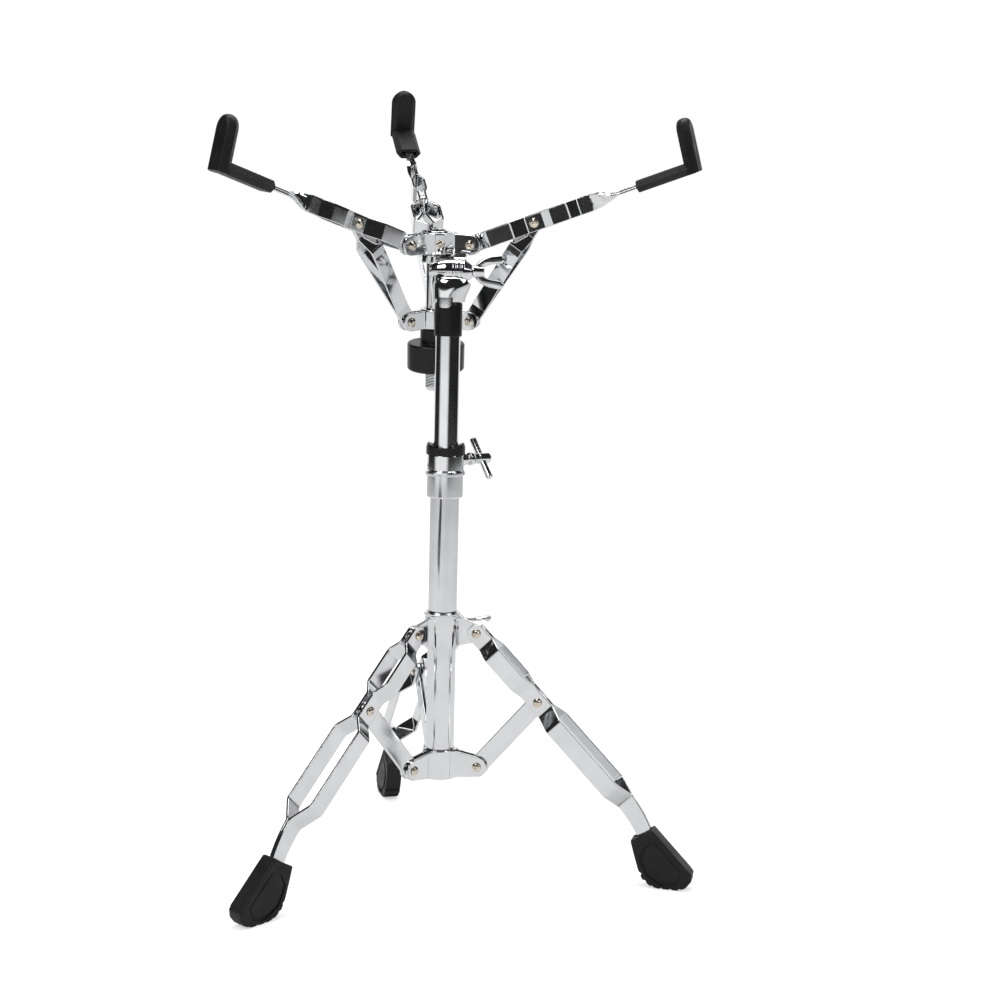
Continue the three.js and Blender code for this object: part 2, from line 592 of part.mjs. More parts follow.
// The upright of the grip: round at the top, and narrower on its two faces
function gripUpright() {
  const { half, faceHalf, under, top, uprightStart, end } = GRIP;
  const roundCentre = top - half;
  const outline = new THREE.Shape();
  outline.moveTo(-half, under);
  outline.lineTo(half, under);
  outline.absarc(0, roundCentre, half, 0, Math.PI, false);
  outline.closePath();
  const geometry = uprightPlate(outline, uprightStart, end - uprightStart, 2);
  const position = geometry.attributes.position;
  const middle = (uprightStart + end) / 2;
  for (let i = 0; i < position.count; i += 1) {
    const isOnFace = Math.abs(position.getX(i) - middle) > 0.1;
    const narrow = isOnFace ? faceHalf / half : 1;
    const aboveCentre = Math.max(position.getZ(i) - roundCentre, 0);
    position.setY(i, position.getY(i) * narrow);
    position.setZ(i, position.getZ(i) - aboveCentre * (1 - narrow));
  }
  return leaned(geometry);
}

function gripGeometry() {
  const { half, faceHalf, under, seat, start, end } = GRIP;
  const middle = (under + seat) / 2;
  const section = polygon([
    [-faceHalf, seat], [-half, middle], [-faceHalf, under],
    [faceHalf, under], [half, middle], [faceHalf, seat],
  ]);
  const sleeve = uprightPlate(section, start, end - start);
  return build([sleeve, gripUpright()], hookPieces(start - PAST, HOOK_ROOM));
}

// Side offset of a link strap: held inside the arm, spread just below it, then drawn slowly in
// towards the collar
const LINK_PINCH = GAP / 2 + THIN_STRAP.thickness / 2;
const LINK_PATH = [
  [-8, LINK_PINCH], [11.5, LINK_PINCH], [22, 8.6], [28, 8.6], [82, LINK_PINCH], [104, LINK_PINCH],
];

function addSpoke(basket, side, azimuth) {
  const group = spoke(basket, azimuth);
  addAt(group, `arm_${side}`, armGeometry(), chrome, HUB_PIVOT, ARM_SLOPE);
  addAt(group, `grip_${side}`, gripGeometry(), rubber, HUB_PIVOT, ARM_SLOPE);

  const link = between(ARM_MID_POINT, SLIDER_PIVOT);
  const plan = linkShape(link.length, THIN_STRAP.linkWidth);
  const holes = [pin(LOOSE_HOLE, { r: 0, z: 0 }), pin(RIVET_HOLE, { r: link.length, z: 0 })];
  for (const [letter, path] of [['a', LINK_PATH], ['b', mirrored(LINK_PATH)]]) {
    const strap = build([bentStrap(path, THIN_STRAP.thickness, plan)], holes);
    addAt(group, `link_${side}_${letter}`, strap, chrome, ARM_MID_POINT, link.slope);
  }

  const earGrip = EAR.inner + EAR.thickness;
  const armGrip = ARM_MID_OFFSET + THIN_STRAP.thickness / 2;
  addAt(group, `hub_rivet_${side}`, rivet(earGrip), nickel, HUB_PIVOT);
  addAt(group, `arm_rivet_${side}`, rivet(armGrip), nickel, ARM_MID_POINT);
  addAt(group, `collar_rivet_${side}`, rivet(earGrip), nickel, SLIDER_PIVOT);
}

function addBasket() {
  const basket = new THREE.Group();
  basket.position.copy(BASKET_ORIGIN);
  basket.rotation.x = BASKET_LEAN * DEG;
  stand.add(basket);
  addTilterHead(basket);
  addBasketCore(basket);
  for (const [side, azimuth] of Object.entries(SPOKES)) {
    addSpoke(basket, side, azimuth);
  }
}

addColumn();
addClamp();
addLegCollar();
addBaseCollar();
for (const [side, azimuth] of Object.entries(LEGS)) {
  addLeg(side, azimuth);
}
addTilterBase();
addTilterBolt();
addBasket();

// The origin goes under the middle of the whole stand, on the floor
stand.updateMatrixWorld(true);
const bounds = new THREE.Box3().setFromObject(stand, true);
const middle = bounds.getCenter(new THREE.Vector3());
stand.position.set(-middle.x, -middle.y, -bounds.min.z);
stand.updateMatrixWorld(true);

export default stand;
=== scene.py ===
# Looks of the double-braced snare drum stand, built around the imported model.
# Pieces are drawn in millimetres in a frame of their own (the column, one leg, one basket arm)
# and set into the shared frame, in metres, by that frame's matrix.
import json
import math
from collections import Counter

import bmesh
import bpy
from mathutils import Matrix, Vector
from mathutils.geometry import tessellate_polygon

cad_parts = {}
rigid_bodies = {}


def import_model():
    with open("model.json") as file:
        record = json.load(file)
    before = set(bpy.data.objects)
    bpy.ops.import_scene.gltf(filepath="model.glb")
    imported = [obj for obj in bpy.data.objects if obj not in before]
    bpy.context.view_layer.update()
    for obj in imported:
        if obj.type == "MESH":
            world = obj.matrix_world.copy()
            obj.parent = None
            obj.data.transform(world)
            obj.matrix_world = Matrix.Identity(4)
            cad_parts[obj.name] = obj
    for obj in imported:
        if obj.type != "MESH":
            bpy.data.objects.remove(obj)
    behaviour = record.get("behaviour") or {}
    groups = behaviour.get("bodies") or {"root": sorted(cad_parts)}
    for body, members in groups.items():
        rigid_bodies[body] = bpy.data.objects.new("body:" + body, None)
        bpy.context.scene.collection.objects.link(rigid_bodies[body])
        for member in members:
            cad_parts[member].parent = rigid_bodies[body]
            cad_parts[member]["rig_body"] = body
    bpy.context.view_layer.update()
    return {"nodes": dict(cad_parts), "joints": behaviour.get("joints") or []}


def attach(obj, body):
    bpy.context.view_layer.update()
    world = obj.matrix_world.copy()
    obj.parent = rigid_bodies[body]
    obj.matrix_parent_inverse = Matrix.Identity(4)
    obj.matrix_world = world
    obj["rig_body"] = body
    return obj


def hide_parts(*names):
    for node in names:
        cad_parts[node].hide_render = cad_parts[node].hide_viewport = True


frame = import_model()
joints = {joint["name"]: joint for joint in frame["joints"]}

MM = 0.001
UP = Vector((0, 0, 1))
SIDES = ("right", "back", "left")
GAP = 0.3
AROUND = 96  # facets round a tube
SMOOTH_ANGLE = math.radians(35)


# ---- Frames ----

def local_frame(origin, out, up):
    """From millimetres along out, across and up to metres in the shared frame."""
    axes = Matrix((out, up.cross(out), up)).transposed().to_4x4()
    return Matrix.Translation(origin) @ axes @ Matrix.Scale(MM, 4)


def joint_spoke(name, origin, up):
    """The upright plane in which a leg or an arm swings, with x outwards."""
    across = Vector(joints[name]["axis"]).normalized()
    return local_frame(origin, across.cross(up).normalized(), up)


def at(place, r, z, slope=0.0):
    """A point of a spoke's plane, with x sloping upwards by so many degrees."""
    return place @ Matrix.Translation((r, 0, z)) @ Matrix.Rotation(-math.radians(slope), 4, "Y")


def turned(place, azimuth, height=0.0):
    return place @ Matrix.Rotation(math.radians(azimuth), 4, "Z") @ Matrix.Translation((0, 0, height))


tilt_axis = Vector(joints["basket_swivel"]["pos_m"])
rod_up = Vector(joints["knob_turn"]["axis"]).normalized()
column_foot = Vector((tilt_axis.x, tilt_axis.y, 0))
hub_centre = Vector(joints["knob_turn"]["pos_m"])
COLUMN = local_frame(column_foot, Vector((1, 0, 0)), UP)
BASKET = local_frame(hub_centre, Vector((1, 0, 0)), rod_up)
LEG = {side: joint_spoke(f"leg_{side}_hinge", column_foot, UP) for side in SIDES}
ARM = {side: joint_spoke(f"arm_{side}_hinge", hub_centre, rod_up) for side in SIDES}


# ---- Outlines ----

def rounded(points, radius=0.0, steps=5, closed=True):
    """The outline with its corners rounded. A point's third number is its own radius."""
    result = []
    count = len(points)
    for i, point in enumerate(points):
        here = Vector(point[:2])
        reach = point[2] if len(point) > 2 else radius
        is_end = not closed and i in (0, count - 1)
        before = Vector(points[i - 1][:2]) - here
        after = Vector(points[(i + 1) % count][:2]) - here
        angle = math.pi if is_end else before.angle(after)
        if reach == 0 or angle > math.pi - 0.02:
            result.append(here)
            continue
        cut = min(reach / math.tan(angle / 2), before.length * 0.49, after.length * 0.49)
        start = here + before.normalized() * cut
        middle = before.normalized() + after.normalized()
        centre = here + middle.normalized() * cut / math.cos(angle / 2)
        sweep = (math.pi - angle) * (1 if after.cross(before) > 0 else -1)
        for k in range(steps + 1):
            turn = Matrix.Rotation(sweep * k / steps, 2)
            result.append(centre + turn @ (start - centre))
    return result


def arc(centre, radius, start, end, steps=12):
    """Points on an arc, from one angle to another in degrees."""
    angles = [math.radians(start + (end - start) * k / steps) for k in range(steps + 1)]
    return [Vector((centre[0] + radius * math.cos(a), centre[1] + radius * math.sin(a))) for a in angles]


def curve(start, control, end, steps=8):
    """A quadratic curve, without its first point."""
    a, b, c = Vector(start), Vector(control), Vector(end)
    shares = [k / steps for k in range(1, steps + 1)]
    return [a * (1 - t) ** 2 + b * 2 * t * (1 - t) + c * t * t for t in shares]


def circle(centre, radius, steps=20):
    """A hole's outline, which runs clockwise."""
    return arc(centre, radius, 360, 360 / steps, steps - 1)


def link_outline(length, width):
    half = width / 2
    return arc((0, 0), half, 90, 270) + arc((length, 0), half, -90, 90)


def ear_outline(start, bottom, top, pivot, radius):
    """An ear that leaves a collar at x = start and ends round its pivot."""
    return [Vector((start, bottom))] + arc(pivot, radius, -90, 90) + [Vector((start, top))]


# ---- Closed bodies, as (corners, faces) ----

def inset(loop, distance):
    """The loop moved sideways into the material, which lies on its left."""
    result = []
    for i, here in enumerate(loop):
        before = here - loop[i - 1]
        after = loop[(i + 1) % len(loop)] - here
        first = Vector((-before.y, before.x)).normalized()
        second = Vector((-after.y, after.x)).normalized()
        middle = (first + second).normalized()
        result.append(here + middle * distance / max(middle.dot(first), 0.5))
    return result


def volume(corners, faces):
    """Six times the signed volume, positive when the faces point out."""
    total = 0
    for face in faces:
        for i in range(1, len(face) - 1):
            total += corners[face[0]].dot(corners[face[i]].cross(corners[face[i + 1]]))
    return total


def flipped(faces):
    return [tuple(reversed(face)) for face in faces]


def closed_body(corners, faces):
    """The body with all its faces pointing out."""
    mesh = to_bmesh((corners, faces))
    bmesh.ops.recalc_face_normals(mesh, faces=mesh.faces)
    corners, faces = from_bmesh(mesh)
    return corners, faces if volume(corners, faces) > 0 else flipped(faces)


def distinct(points):
    """The loop without points that lie on the one before."""
    return [p for i, p in enumerate(points) if (p - points[i - 1]).length > 1e-3]


def wound(loop, clockwise):
    """The loop, running the stated way round."""
    area = sum(a.x * b.y - b.x * a.y for a, b in zip(loop, loop[1:] + loop[:1]))
    return loop if (area < 0) == clockwise else loop[::-1]


def layered(outline, layers, holes=()):
    """A body whose flat layers are (inset, y) copies of an outline in the XZ plane."""
    loops = [distinct([Vector(p) for p in loop]) for loop in (outline, *holes)]
    loops = [wound(loop, i > 0) for i, loop in enumerate(loops)]
    corners, faces, starts = [], [], []
    for distance, y in layers:
        starts.append(len(corners))
        for loop in loops:
            corners += [Vector((p.x, y, p.y)) for p in inset(loop, distance)]
    for low, high in zip(starts, starts[1:]):
        offset = 0
        for loop in loops:
            count = len(loop)
            for i in range(count):
                a, b = offset + i, offset + (i + 1) % count
                faces.append((low + a, low + b, high + b, high + a))
            offset += count
    for start, (distance, y) in ((starts[0], layers[0]), (starts[-1], layers[-1])):
        flat = [[Vector((p.x, p.y, 0)) for p in inset(loop, distance)] for loop in loops]
        faces += [tuple(start + i for i in triangle) for triangle in tessellate_polygon(flat)]
    return closed_body(corners, faces)


def plate(outline, thickness, edge=0.4, y=0.0, holes=(), steps=3):
    """A flat plate in the XZ plane with rounded edges."""
    half = thickness / 2
    quarter = [math.pi / 2 * k / steps for k in range(steps + 1)]
    near = [(edge * (1 - math.sin(a)), -half + edge * (1 - math.cos(a))) for a in quarter]
    far = [(distance, -depth) for distance, depth in reversed(near)]
    return layered(outline, [(d, y + depth) for d, depth in near + far], holes)


def lathe(outline, around=AROUND):
    """A solid of revolution about Z. The outline is closed, as [radius, z] pairs."""
    corners, faces, rings = [], [], []
    for radius, z in distinct([Vector(point) for point in outline]):
        on_axis = radius < 1e-6
        angles = [0] if on_axis else [math.tau * k / around for k in range(around)]
        rings.append(range(len(corners), len(corners) + len(angles)))
        corners += [Vector((radius * math.cos(a), radius * math.sin(a), z)) for a in angles]
    for low, high in zip(rings, rings[1:] + rings[:1]):
        if len(low) == 1 and len(high) == 1:
            continue
        for k in range(around):
            after = (k + 1) % around
            face = [low[k % len(low)], low[after % len(low)], high[after % len(high)], high[k % len(high)]]
            faces.append(tuple(dict.fromkeys(face)))
    return closed_body(corners, faces)


def loft(sections):
    """A body through rings of equally many corners, closed by a flat face at each end."""
    count = len(sections[0])
    corners = [corner for section in sections for corner in section]
    faces = [tuple(range(count)), tuple(range(len(corners) - count, len(corners)))]
    for s in range(len(sections) - 1):
        for i in range(count):
            a, b = s * count + i, s * count + (i + 1) % count
            faces.append((a, b, b + count, a + count))
    return closed_body(corners, faces)


def moved(body, matrix):
    corners, faces = body
    return [matrix @ corner for corner in corners], flipped(faces) if matrix.determinant() < 0 else faces


def shifted(body, x=0.0, y=0.0, z=0.0):
    return moved(body, Matrix.Translation((x, y, z)))


def lying(body):
    """A body of revolution laid along X."""
    return moved(body, Matrix.Rotation(math.pi / 2, 4, "Y"))


def mirrored(body):
    return moved(body, Matrix.Scale(-1, 4, (0, 1, 0)))


def merged(*bodies):
    corners, faces = [], []
    for body in bodies:
        start = len(corners)
        corners += body[0]
        faces += [tuple(start + i for i in face) for face in body[1]]
    return corners, faces


def to_bmesh(body):
    mesh = bmesh.new()
    corners = [mesh.verts.new(corner) for corner in body[0]]
    copies = Counter(frozenset(face) for face in body[1])
    for face in body[1]:
        if copies[frozenset(face)] == 1:  # two on the same corners are a flap without thickness
            mesh.faces.new([corners[i] for i in face])
    return mesh


def from_bmesh(mesh):
    mesh.verts.index_update()
    body = [v.co.copy() for v in mesh.verts], [tuple(v.index for v in f.verts) for f in mesh.faces]
    mesh.free()
    return body


def warped(body, cuts, bend):
    """Cuts the body across at each x and moves its corners."""
    mesh = to_bmesh(body)
    for x in cuts:
        everything = mesh.verts[:] + mesh.edges[:] + mesh.faces[:]
        bmesh.ops.bisect_plane(mesh, geom=everything, plane_co=(x, 0, 0), plane_no=(1, 0, 0), dist=1e-4)
    for corner in mesh.verts:
        corner.co = bend(corner.co)
    return from_bmesh(mesh)


def bent(body, path, radius):
    """Bends a plate along a path of [x, y] points with rounded corners."""
    line = rounded(path, radius, 6, closed=False)

    def bend(corner):
        i = next((k for k in range(1, len(line) - 1) if corner.x <= line[k].x), len(line) - 1)
        start, end = line[i - 1], line[i]
        share = (corner.x - start.x) / (end.x - start.x)

        def normal(k):
            low, high = line[max(k - 1, 0)], line[min(k + 1, len(line) - 1)]
            along = (high - low).normalized()
            return Vector((-along.y, along.x))

        side = normal(i - 1).lerp(normal(i), min(max(share, 0), 1)).normalized()
        centre = start.lerp(end, share)
        return Vector((centre.x + side.x * corner.y, centre.y + side.y * corner.y, corner.z))

    return warped(body, [point.x for point in line[1:-1]], bend)


def combined(first, second, operation):
    """Joins two bodies, cuts the second out of the first or keeps what both fill."""
    made = []
    for body in (first, second):
        mesh = bpy.data.meshes.new("scratch")
        shape = to_bmesh(body)
        shape.to_mesh(mesh)
        shape.free()
        made.append(bpy.data.objects.new("scratch", mesh))
        bpy.context.scene.collection.objects.link(made[-1])
    boolean = made[0].modifiers.new("combine", "BOOLEAN")
    boolean.object = made[1]
    boolean.operation = operation
    boolean.solver = "EXACT"
    result = bmesh.new()
    result.from_object(made[0], bpy.context.evaluated_depsgraph_get())
    bmesh.ops.remove_doubles(result, verts=result.verts, dist=1e-4)
    for scratch in made:
        mesh = scratch.data
        bpy.data.objects.remove(scratch)
        bpy.data.meshes.remove(mesh)
    return from_bmesh(result)


# ---- Materials ----

def new_material(name):
    material = bpy.data.materials.new(name)
    material.use_nodes = True
    return material, material.node_tree, material.node_tree.nodes["Principled BSDF"]


def noise(tree, scale, detail=3.0, stretch=None):
    """Noise in the shared frame's metres, stretched along one axis where asked."""
    place = tree.nodes.new("ShaderNodeTexCoord").outputs["Object"]
    if stretch:
        mapping = tree.nodes.new("ShaderNodeMapping")
        mapping.inputs["Scale"].default_value = stretch
        tree.links.new(place, mapping.inputs["Vector"])
        place = mapping.outputs["Vector"]
    texture = tree.nodes.new("ShaderNodeTexNoise")
    texture.inputs["Scale"].default_value = scale
    texture.inputs["Detail"].default_value = detail
    tree.links.new(place, texture.inputs["Vector"])
    return texture.outputs["Fac"]


def ramp(tree, factor, stops):
    """Spreads a factor over (position, colour or number) stops."""
    node = tree.nodes.new("ShaderNodeValToRGB")
    for _ in stops[2:]:
        node.color_ramp.elements.new(0.5)
    for element, (position, value) in zip(node.color_ramp.elements, stops):
        element.position = position
        colour = value if isinstance(value, tuple) else (value,) * 3
        element.color = (*colour, 1)
    tree.links.new(factor, node.inputs["Fac"])
    return node.outputs["Color"]


def bump(tree, height, strength, distance, under=None):
    node = tree.nodes.new("ShaderNodeBump")
    node.inputs["Strength"].default_value = strength
    node.inputs["Distance"].default_value = distance
    tree.links.new(height, node.inputs["Height"])
    if under:
        tree.links.new(under, node.inputs["Normal"])
    return node.outputs["Normal"]


def plated(name, colour, clean, worn):
    """Plated metal: smudges, fine hairline scratches and a slightly wavy surface."""
    material, tree, shader = new_material(name)
    shader.inputs["Metallic"].default_value = 1
    smudge = ramp(tree, noise(tree, 26, 5), [(0.45, clean), (0.85, worn)])
    hair = ramp(tree, noise(tree, 420, 2, (1, 1, 14)), [(0.60, 0.0), (0.80, worn * 0.3)])
    rough = tree.nodes.new("ShaderNodeMix")
    rough.data_type = "RGBA"
    rough.blend_type = "ADD"
    rough.inputs["Factor"].default_value = 1
    tree.links.new(smudge, rough.inputs["A"])
    tree.links.new(hair, rough.inputs["B"])
    tree.links.new(rough.outputs["Result"], shader.inputs["Roughness"])
    shade = tuple(c * 0.93 for c in colour)
    mottle = ramp(tree, noise(tree, 60, 4), [(0.35, shade), (0.65, colour)])
    tree.links.new(mottle, shader.inputs["Base Color"])
    wave = bump(tree, noise(tree, 34, 1), 0.09, 0.0012)
    tree.links.new(bump(tree, noise(tree, 900, 2), 0.01, 0.0002, wave), shader.inputs["Normal"])
    return material


def moulded(name, dark, light, low, high, grain, depth):
    """Moulded rubber or plastic: fine grain, a little dust and uneven gloss."""
    material, tree, shader = new_material(name)
    dust = ramp(tree, noise(tree, 48, 6), [(0.38, dark), (0.75, light)])
    tree.links.new(dust, shader.inputs["Base Color"])
    tree.links.new(ramp(tree, noise(tree, 90, 4), [(0.3, low), (0.7, high)]), shader.inputs["Roughness"])
    shader.inputs["Specular IOR Level"].default_value = 0.32
    cast = bump(tree, noise(tree, 130, 2), 0.10, 0.0008)
    tree.links.new(bump(tree, noise(tree, grain, 3), depth, 0.0003, cast), shader.inputs["Normal"])
    return material


FINISHES = {
    "chrome": plated("chrome_plate", (0.80, 0.81, 0.825), 0.075, 0.13),
    "rivet_metal": plated("nickel_plate", (0.80, 0.73, 0.62), 0.16, 0.28),
    "black_rubber": moulded(
        "moulded_rubber", (0.0038, 0.0038, 0.0040), (0.009, 0.009, 0.009), 0.40, 0.56, 1500, 0.35),
    "black_plastic": moulded(
        "moulded_plastic", (0.0040, 0.0040, 0.0043), (0.008, 0.008, 0.0085), 0.28, 0.42, 1100, 0.20),
}


def piece(node, body, place, finish="chrome"):
    """Makes the visible piece that stands for a CAD node and rides on its body."""
    shape = to_bmesh(moved(body, place))
    mesh = bpy.data.meshes.new(f"{node}_fine")
    shape.to_mesh(mesh)
    shape.free()
    mesh.shade_smooth()
    mesh.set_sharp_from_angle(angle=SMOOTH_ANGLE)
    made = bpy.data.objects.new(f"{node}_fine", mesh)
    bpy.context.scene.collection.objects.link(made)
    mesh.materials.append(FINISHES[finish])
    normals = made.modifiers.new("even_normals", "WEIGHTED_NORMAL")
    normals.keep_sharp = True
    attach(made, frame["nodes"][node]["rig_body"])
    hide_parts(node)


# ---- Column ----

LOWER_TUBE = {"outer": 11.1, "inner": 9.9, "bottom": 70.6, "top": 312}
UPPER_TUBE = {"outer": 9.525, "inner": 8.2, "bottom": 180, "top": 447}
TUBE_BORE = 11.4
UPPER_BORE = 9.825
CLAMP_BOTTOM = 292
CLAMP_LIP = 309.8
CLAMP_TOP = 325.1
FLANGE_TOP = 334.6
SADDLE_RADIUS = 23
SADDLE_DEPTH = 4.4
T_BOLT_AT = (40, 320.6)  # azimuth and height
KEY_AT = (-155, 317.2)


def tube(inner, outer, bottom, top, edge=0.4):
    return lathe(rounded([[inner, bottom], [outer, bottom], [outer, top], [inner, top]], edge, 3))


def add_column():
    for node, size in (("lower_tube", LOWER_TUBE), ("upper_tube", UPPER_TUBE)):
        piece(node, tube(size["inner"], size["outer"], size["bottom"], size["top"]), COLUMN)
    sleeve = rounded([
        (UPPER_BORE, 415.8), (10.5, 415.8, 0.5), (10.6, 418, 0.3), (10.6, 439.6, 1.2), (10.0, 441.5, 0.6),
        (UPPER_BORE, 441.5),
    ], 0, 4)
    piece("tube_sleeve", lathe(sleeve), COLUMN, "black_plastic")


def add_clamp():
    body = rounded([
        (TUBE_BORE, CLAMP_BOTTOM), (12.9, CLAMP_BOTTOM, 0.5), (13.8, CLAMP_BOTTOM + 1.1, 0.6),
        (13.8, CLAMP_LIP - 0.5, 0.4), (15.3, CLAMP_LIP, 0.6), (15.3, 312.5, 0.9), (14.1, 313.4, 0.5),
        (14.1, CLAMP_TOP, 0.7), (TUBE_BORE, CLAMP_TOP),
    ], 0, 4)
    shell = lathe(body)
    boss = rounded([
        (0, 12.6), (5.4, 12.6), (5.4, 17.2, 0.7), (4.4, 17.8, 0.3), (4.4, 20, 0.7), (0, 20),
    ], 0, 4)
    boss_place = turned(Matrix(), *T_BOLT_AT)
    shell = combined(shell, moved(lying(lathe(boss, 48)), boss_place), "UNION")
    bore = lathe([(0, 9), (3.6, 9), (3.6, 22), (0, 22)], 32)
    shell = combined(shell, moved(lying(bore), boss_place), "DIFFERENCE")
    key = lathe([(0, 12.4), (1.3, 12.4), (1.3, 18), (0, 18)], 24)
    shell = combined(shell, moved(lying(key), turned(Matrix(), *KEY_AT)), "DIFFERENCE")
    piece("clamp_body", shell, COLUMN)

    bushing = rounded([
        (UPPER_BORE, 312.8), (11.1, 312.8, 0.3), (11.1, 325.4), (15, 325.4, 0.5), (15, 331.2, 1.4),
        (14.0, FLANGE_TOP, 0.9), (12.6, FLANGE_TOP, 0.7), (UPPER_BORE, 329.4, 0.8),
    ], 0, 4)
    # The rim is lower in front and at the back than at the sides
    saddle = lathe([(0, -30), (SADDLE_RADIUS, -30), (SADDLE_RADIUS, 30), (0, 30)])
    saddle = moved(saddle, Matrix.Rotation(math.pi / 2, 4, "X"))
    saddle = shifted(saddle, 0, 0, FLANGE_TOP - SADDLE_DEPTH + SADDLE_RADIUS)
    piece("clamp_bushing", combined(lathe(bushing), saddle, "DIFFERENCE"), COLUMN, "black_plastic")


def add_t_bolt():
    """The T-bolt: a threaded shaft, a thick head and a leaning crossbar with round ends."""
    thread = rod_thread(3.3, 0.35, 1.25, 11.6, 23.2, 36, 0)
    head = lathe(rounded([
        (0, 22.6), (5.0, 22.6, 0.8), (5.0, 25.4, 0.8), (4.1, 27.4, 0.6), (4.1, 31, 0.2), (3.8, 31.4),
        (3.8, 32), (4.2, 32.4), (4.2, 43, 1.3), (0, 43),
    ], 0.2, 4), 48)
    bar = lathe(rounded([
        (0, -18.5), (2.8, -18.5, 2.4), (2.55, -5), (2.55, 5), (2.8, 18.5, 2.4), (0, 18.5),
    ], 1, 6), 40)
    lean = Matrix.Translation((35.5, 0, 0)) @ Matrix.Rotation(math.radians(-38), 4, "X")
    bolt = combined(lying(head), moved(bar, lean), "UNION")
    piece("clamp_t_bolt", merged(lying(thread), bolt), turned(COLUMN, *T_BOLT_AT))


def rod_thread(outer, depth, pitch, bottom, top, around, bore):
    """A threaded rod or tube along Z, with the thread run out at both ends."""
    per_turn = 4
    count = int((top - bottom) / pitch * per_turn)
    rows = []
    for row in range(count + 1):
        z = bottom + (top - bottom) * row / count
        fade = min(1, (z - bottom) / pitch, (top - z) / pitch)
        ring = []
        for k in range(around):
            phase = (z / pitch - k / around) % 1
            radius = outer - depth * fade * abs(phase * 2 - 1)
            angle = math.tau * k / around
            ring.append(Vector((radius * math.cos(angle), radius * math.sin(angle), z)))
        rows.append(ring)
    if bore:
        inner = [Vector((bore * v.x / outer, bore * v.y / outer, v.z)) for v in rows[0]]
        inner_top = [Vector((v.x, v.y, top)) for v in inner]
        rows = [inner] + rows + [inner_top]
        corners = [corner for ring in rows for corner in ring]
        faces = []
        for s in range(len(rows)):
            low, high = s * around, (s + 1) % len(rows) * around
            for k in range(around):
                after = (k + 1) % around
                faces.append((low + k, low + after, high + after, high + k))
        return closed_body(corners, faces)
    return loft(rows)


# ---- Rivets, ears and collars ----

RIVET_HOLE = 2.5
LOOSE_HOLE = 4.5  # at the pivots that are opened
EAR_MIDDLE = 3.05
EAR_THICKNESS = 2


def rivet(half_grip):
    """A rivet along Y with a flanged, domed head beyond each outer face."""
    inside = half_grip + GAP
    head = [
        (2.2, inside), (3.6, inside, 0.15), (3.6, inside + 0.55, 0.25), (2.75, inside + 0.75, 0.2),
        (2.3, inside + 1.35, 0.6), (0.9, inside + 1.7, 0.3), (0.55, inside + 1.3, 0.2),
        (0, inside + 1.25),
    ]
    lower = [(point[0], -point[1], *point[2:]) for point in reversed(head)]
    body = lathe(rounded(lower + head, 0, 3), 40)
    return moved(body, Matrix.Rotation(math.pi / 2, 4, "X"))


def add_rivet(node, place, half_grip):
    piece(node, rivet(half_grip), place, "rivet_metal")


def ear(outline, hole_centre, path, thickness=EAR_THICKNESS):
    """One formed ear: it leaves the collar's round wall and bends to lie along the spoke."""
    flat = plate(outline, thickness, 0.45, 0, [circle(hole_centre, RIVET_HOLE)])
    return bent(flat, path, 4.5)


def eared_collar(body, outline, hole_centre, path, azimuths, thickness=EAR_THICKNESS):
    one = ear(outline, hole_centre, path, thickness)
    ears = [moved(half, turned(Matrix(), azimuth)) for azimuth in azimuths for half in (one, mirrored(one))]
    return merged(body, *ears)


def azimuths(places, base):
    """Each spoke's azimuth in degrees, about the base frame's own axis."""
    result = []
    for side in SIDES:
        out = base.inverted().to_3x3() @ places[side].to_3x3().col[0]
        result.append(math.degrees(math.atan2(out.y, out.x)))
    return result


# ---- Tripod ----

LEG_PIVOT = (28.6, 187.4)
LEG_SLOPE = 45.4
LEG_MID = 71
BRACE_PIVOT = (31.2, 81.6)
BRACE_LENGTH = 72.698
BRACE_SLOPE = 49.46
STRAP_WIDTH = 14.5
STRAP_THICKNESS = 2
PINCH = 2.9
LEG_SPREAD = 9.5
LEG_BOW = 12.8
LEG_MERGED = 1.15
COLLAR_SCREW_AT = (28, 194.2)  # azimuth and height
LEG_PATH = [
    (-9, PINCH), (12, PINCH), (20, LEG_SPREAD), (50, LEG_SPREAD), (59, PINCH), (81, PINCH),
    (92, LEG_BOW), (157, LEG_BOW), (172, LEG_MERGED), (230, LEG_MERGED),
]


def add_leg_collar():
    spread = azimuths(LEG, COLUMN)
    wall = lathe(rounded([
        (TUBE_BORE, 173.5), (12.6, 173.5, 0.4), (12.6, 175.1), (13.6, 175.1, 0.5), (13.6, 200.3, 0.3),
        (14.6, 200.9, 0.3), (14.6, 202.2, 0.4), (13.0, 202.6, 0.2), (13.0, 203.3, 0.3), (TUBE_BORE, 203.3),
    ], 0, 3))
    outline = ear_outline(9.2, 175.5, 200.3, LEG_PIVOT, 7.2)
    path = [(8.4, 8.9), (14.6, 0.8), (40, 0.8)]
    collar = eared_collar(wall, outline, LEG_PIVOT, path, spread, 1.55)
    boss = lathe(rounded([(2.2, 12.2), (4, 12.2), (4, 18, 0.7), (2.2, 18)], 0, 4), 40)
    boss = moved(lying(boss), turned(Matrix(), *COLLAR_SCREW_AT))
    piece("leg_collar", merged(collar, boss), COLUMN)

    shaft = rod_thread(1.9, 0.22, 0.8, 11.4, 30, 24, 0)
    ball = lathe(rounded([(0, 29), (1.9, 29), (1.9, 37.6, 0.4)], 0, 2)
                 + arc((0, 40), 2.8, -50, 90, 14), 32)
    piece("leg_collar_screw", lying(merged(shaft, ball)), turned(COLUMN, *COLLAR_SCREW_AT))


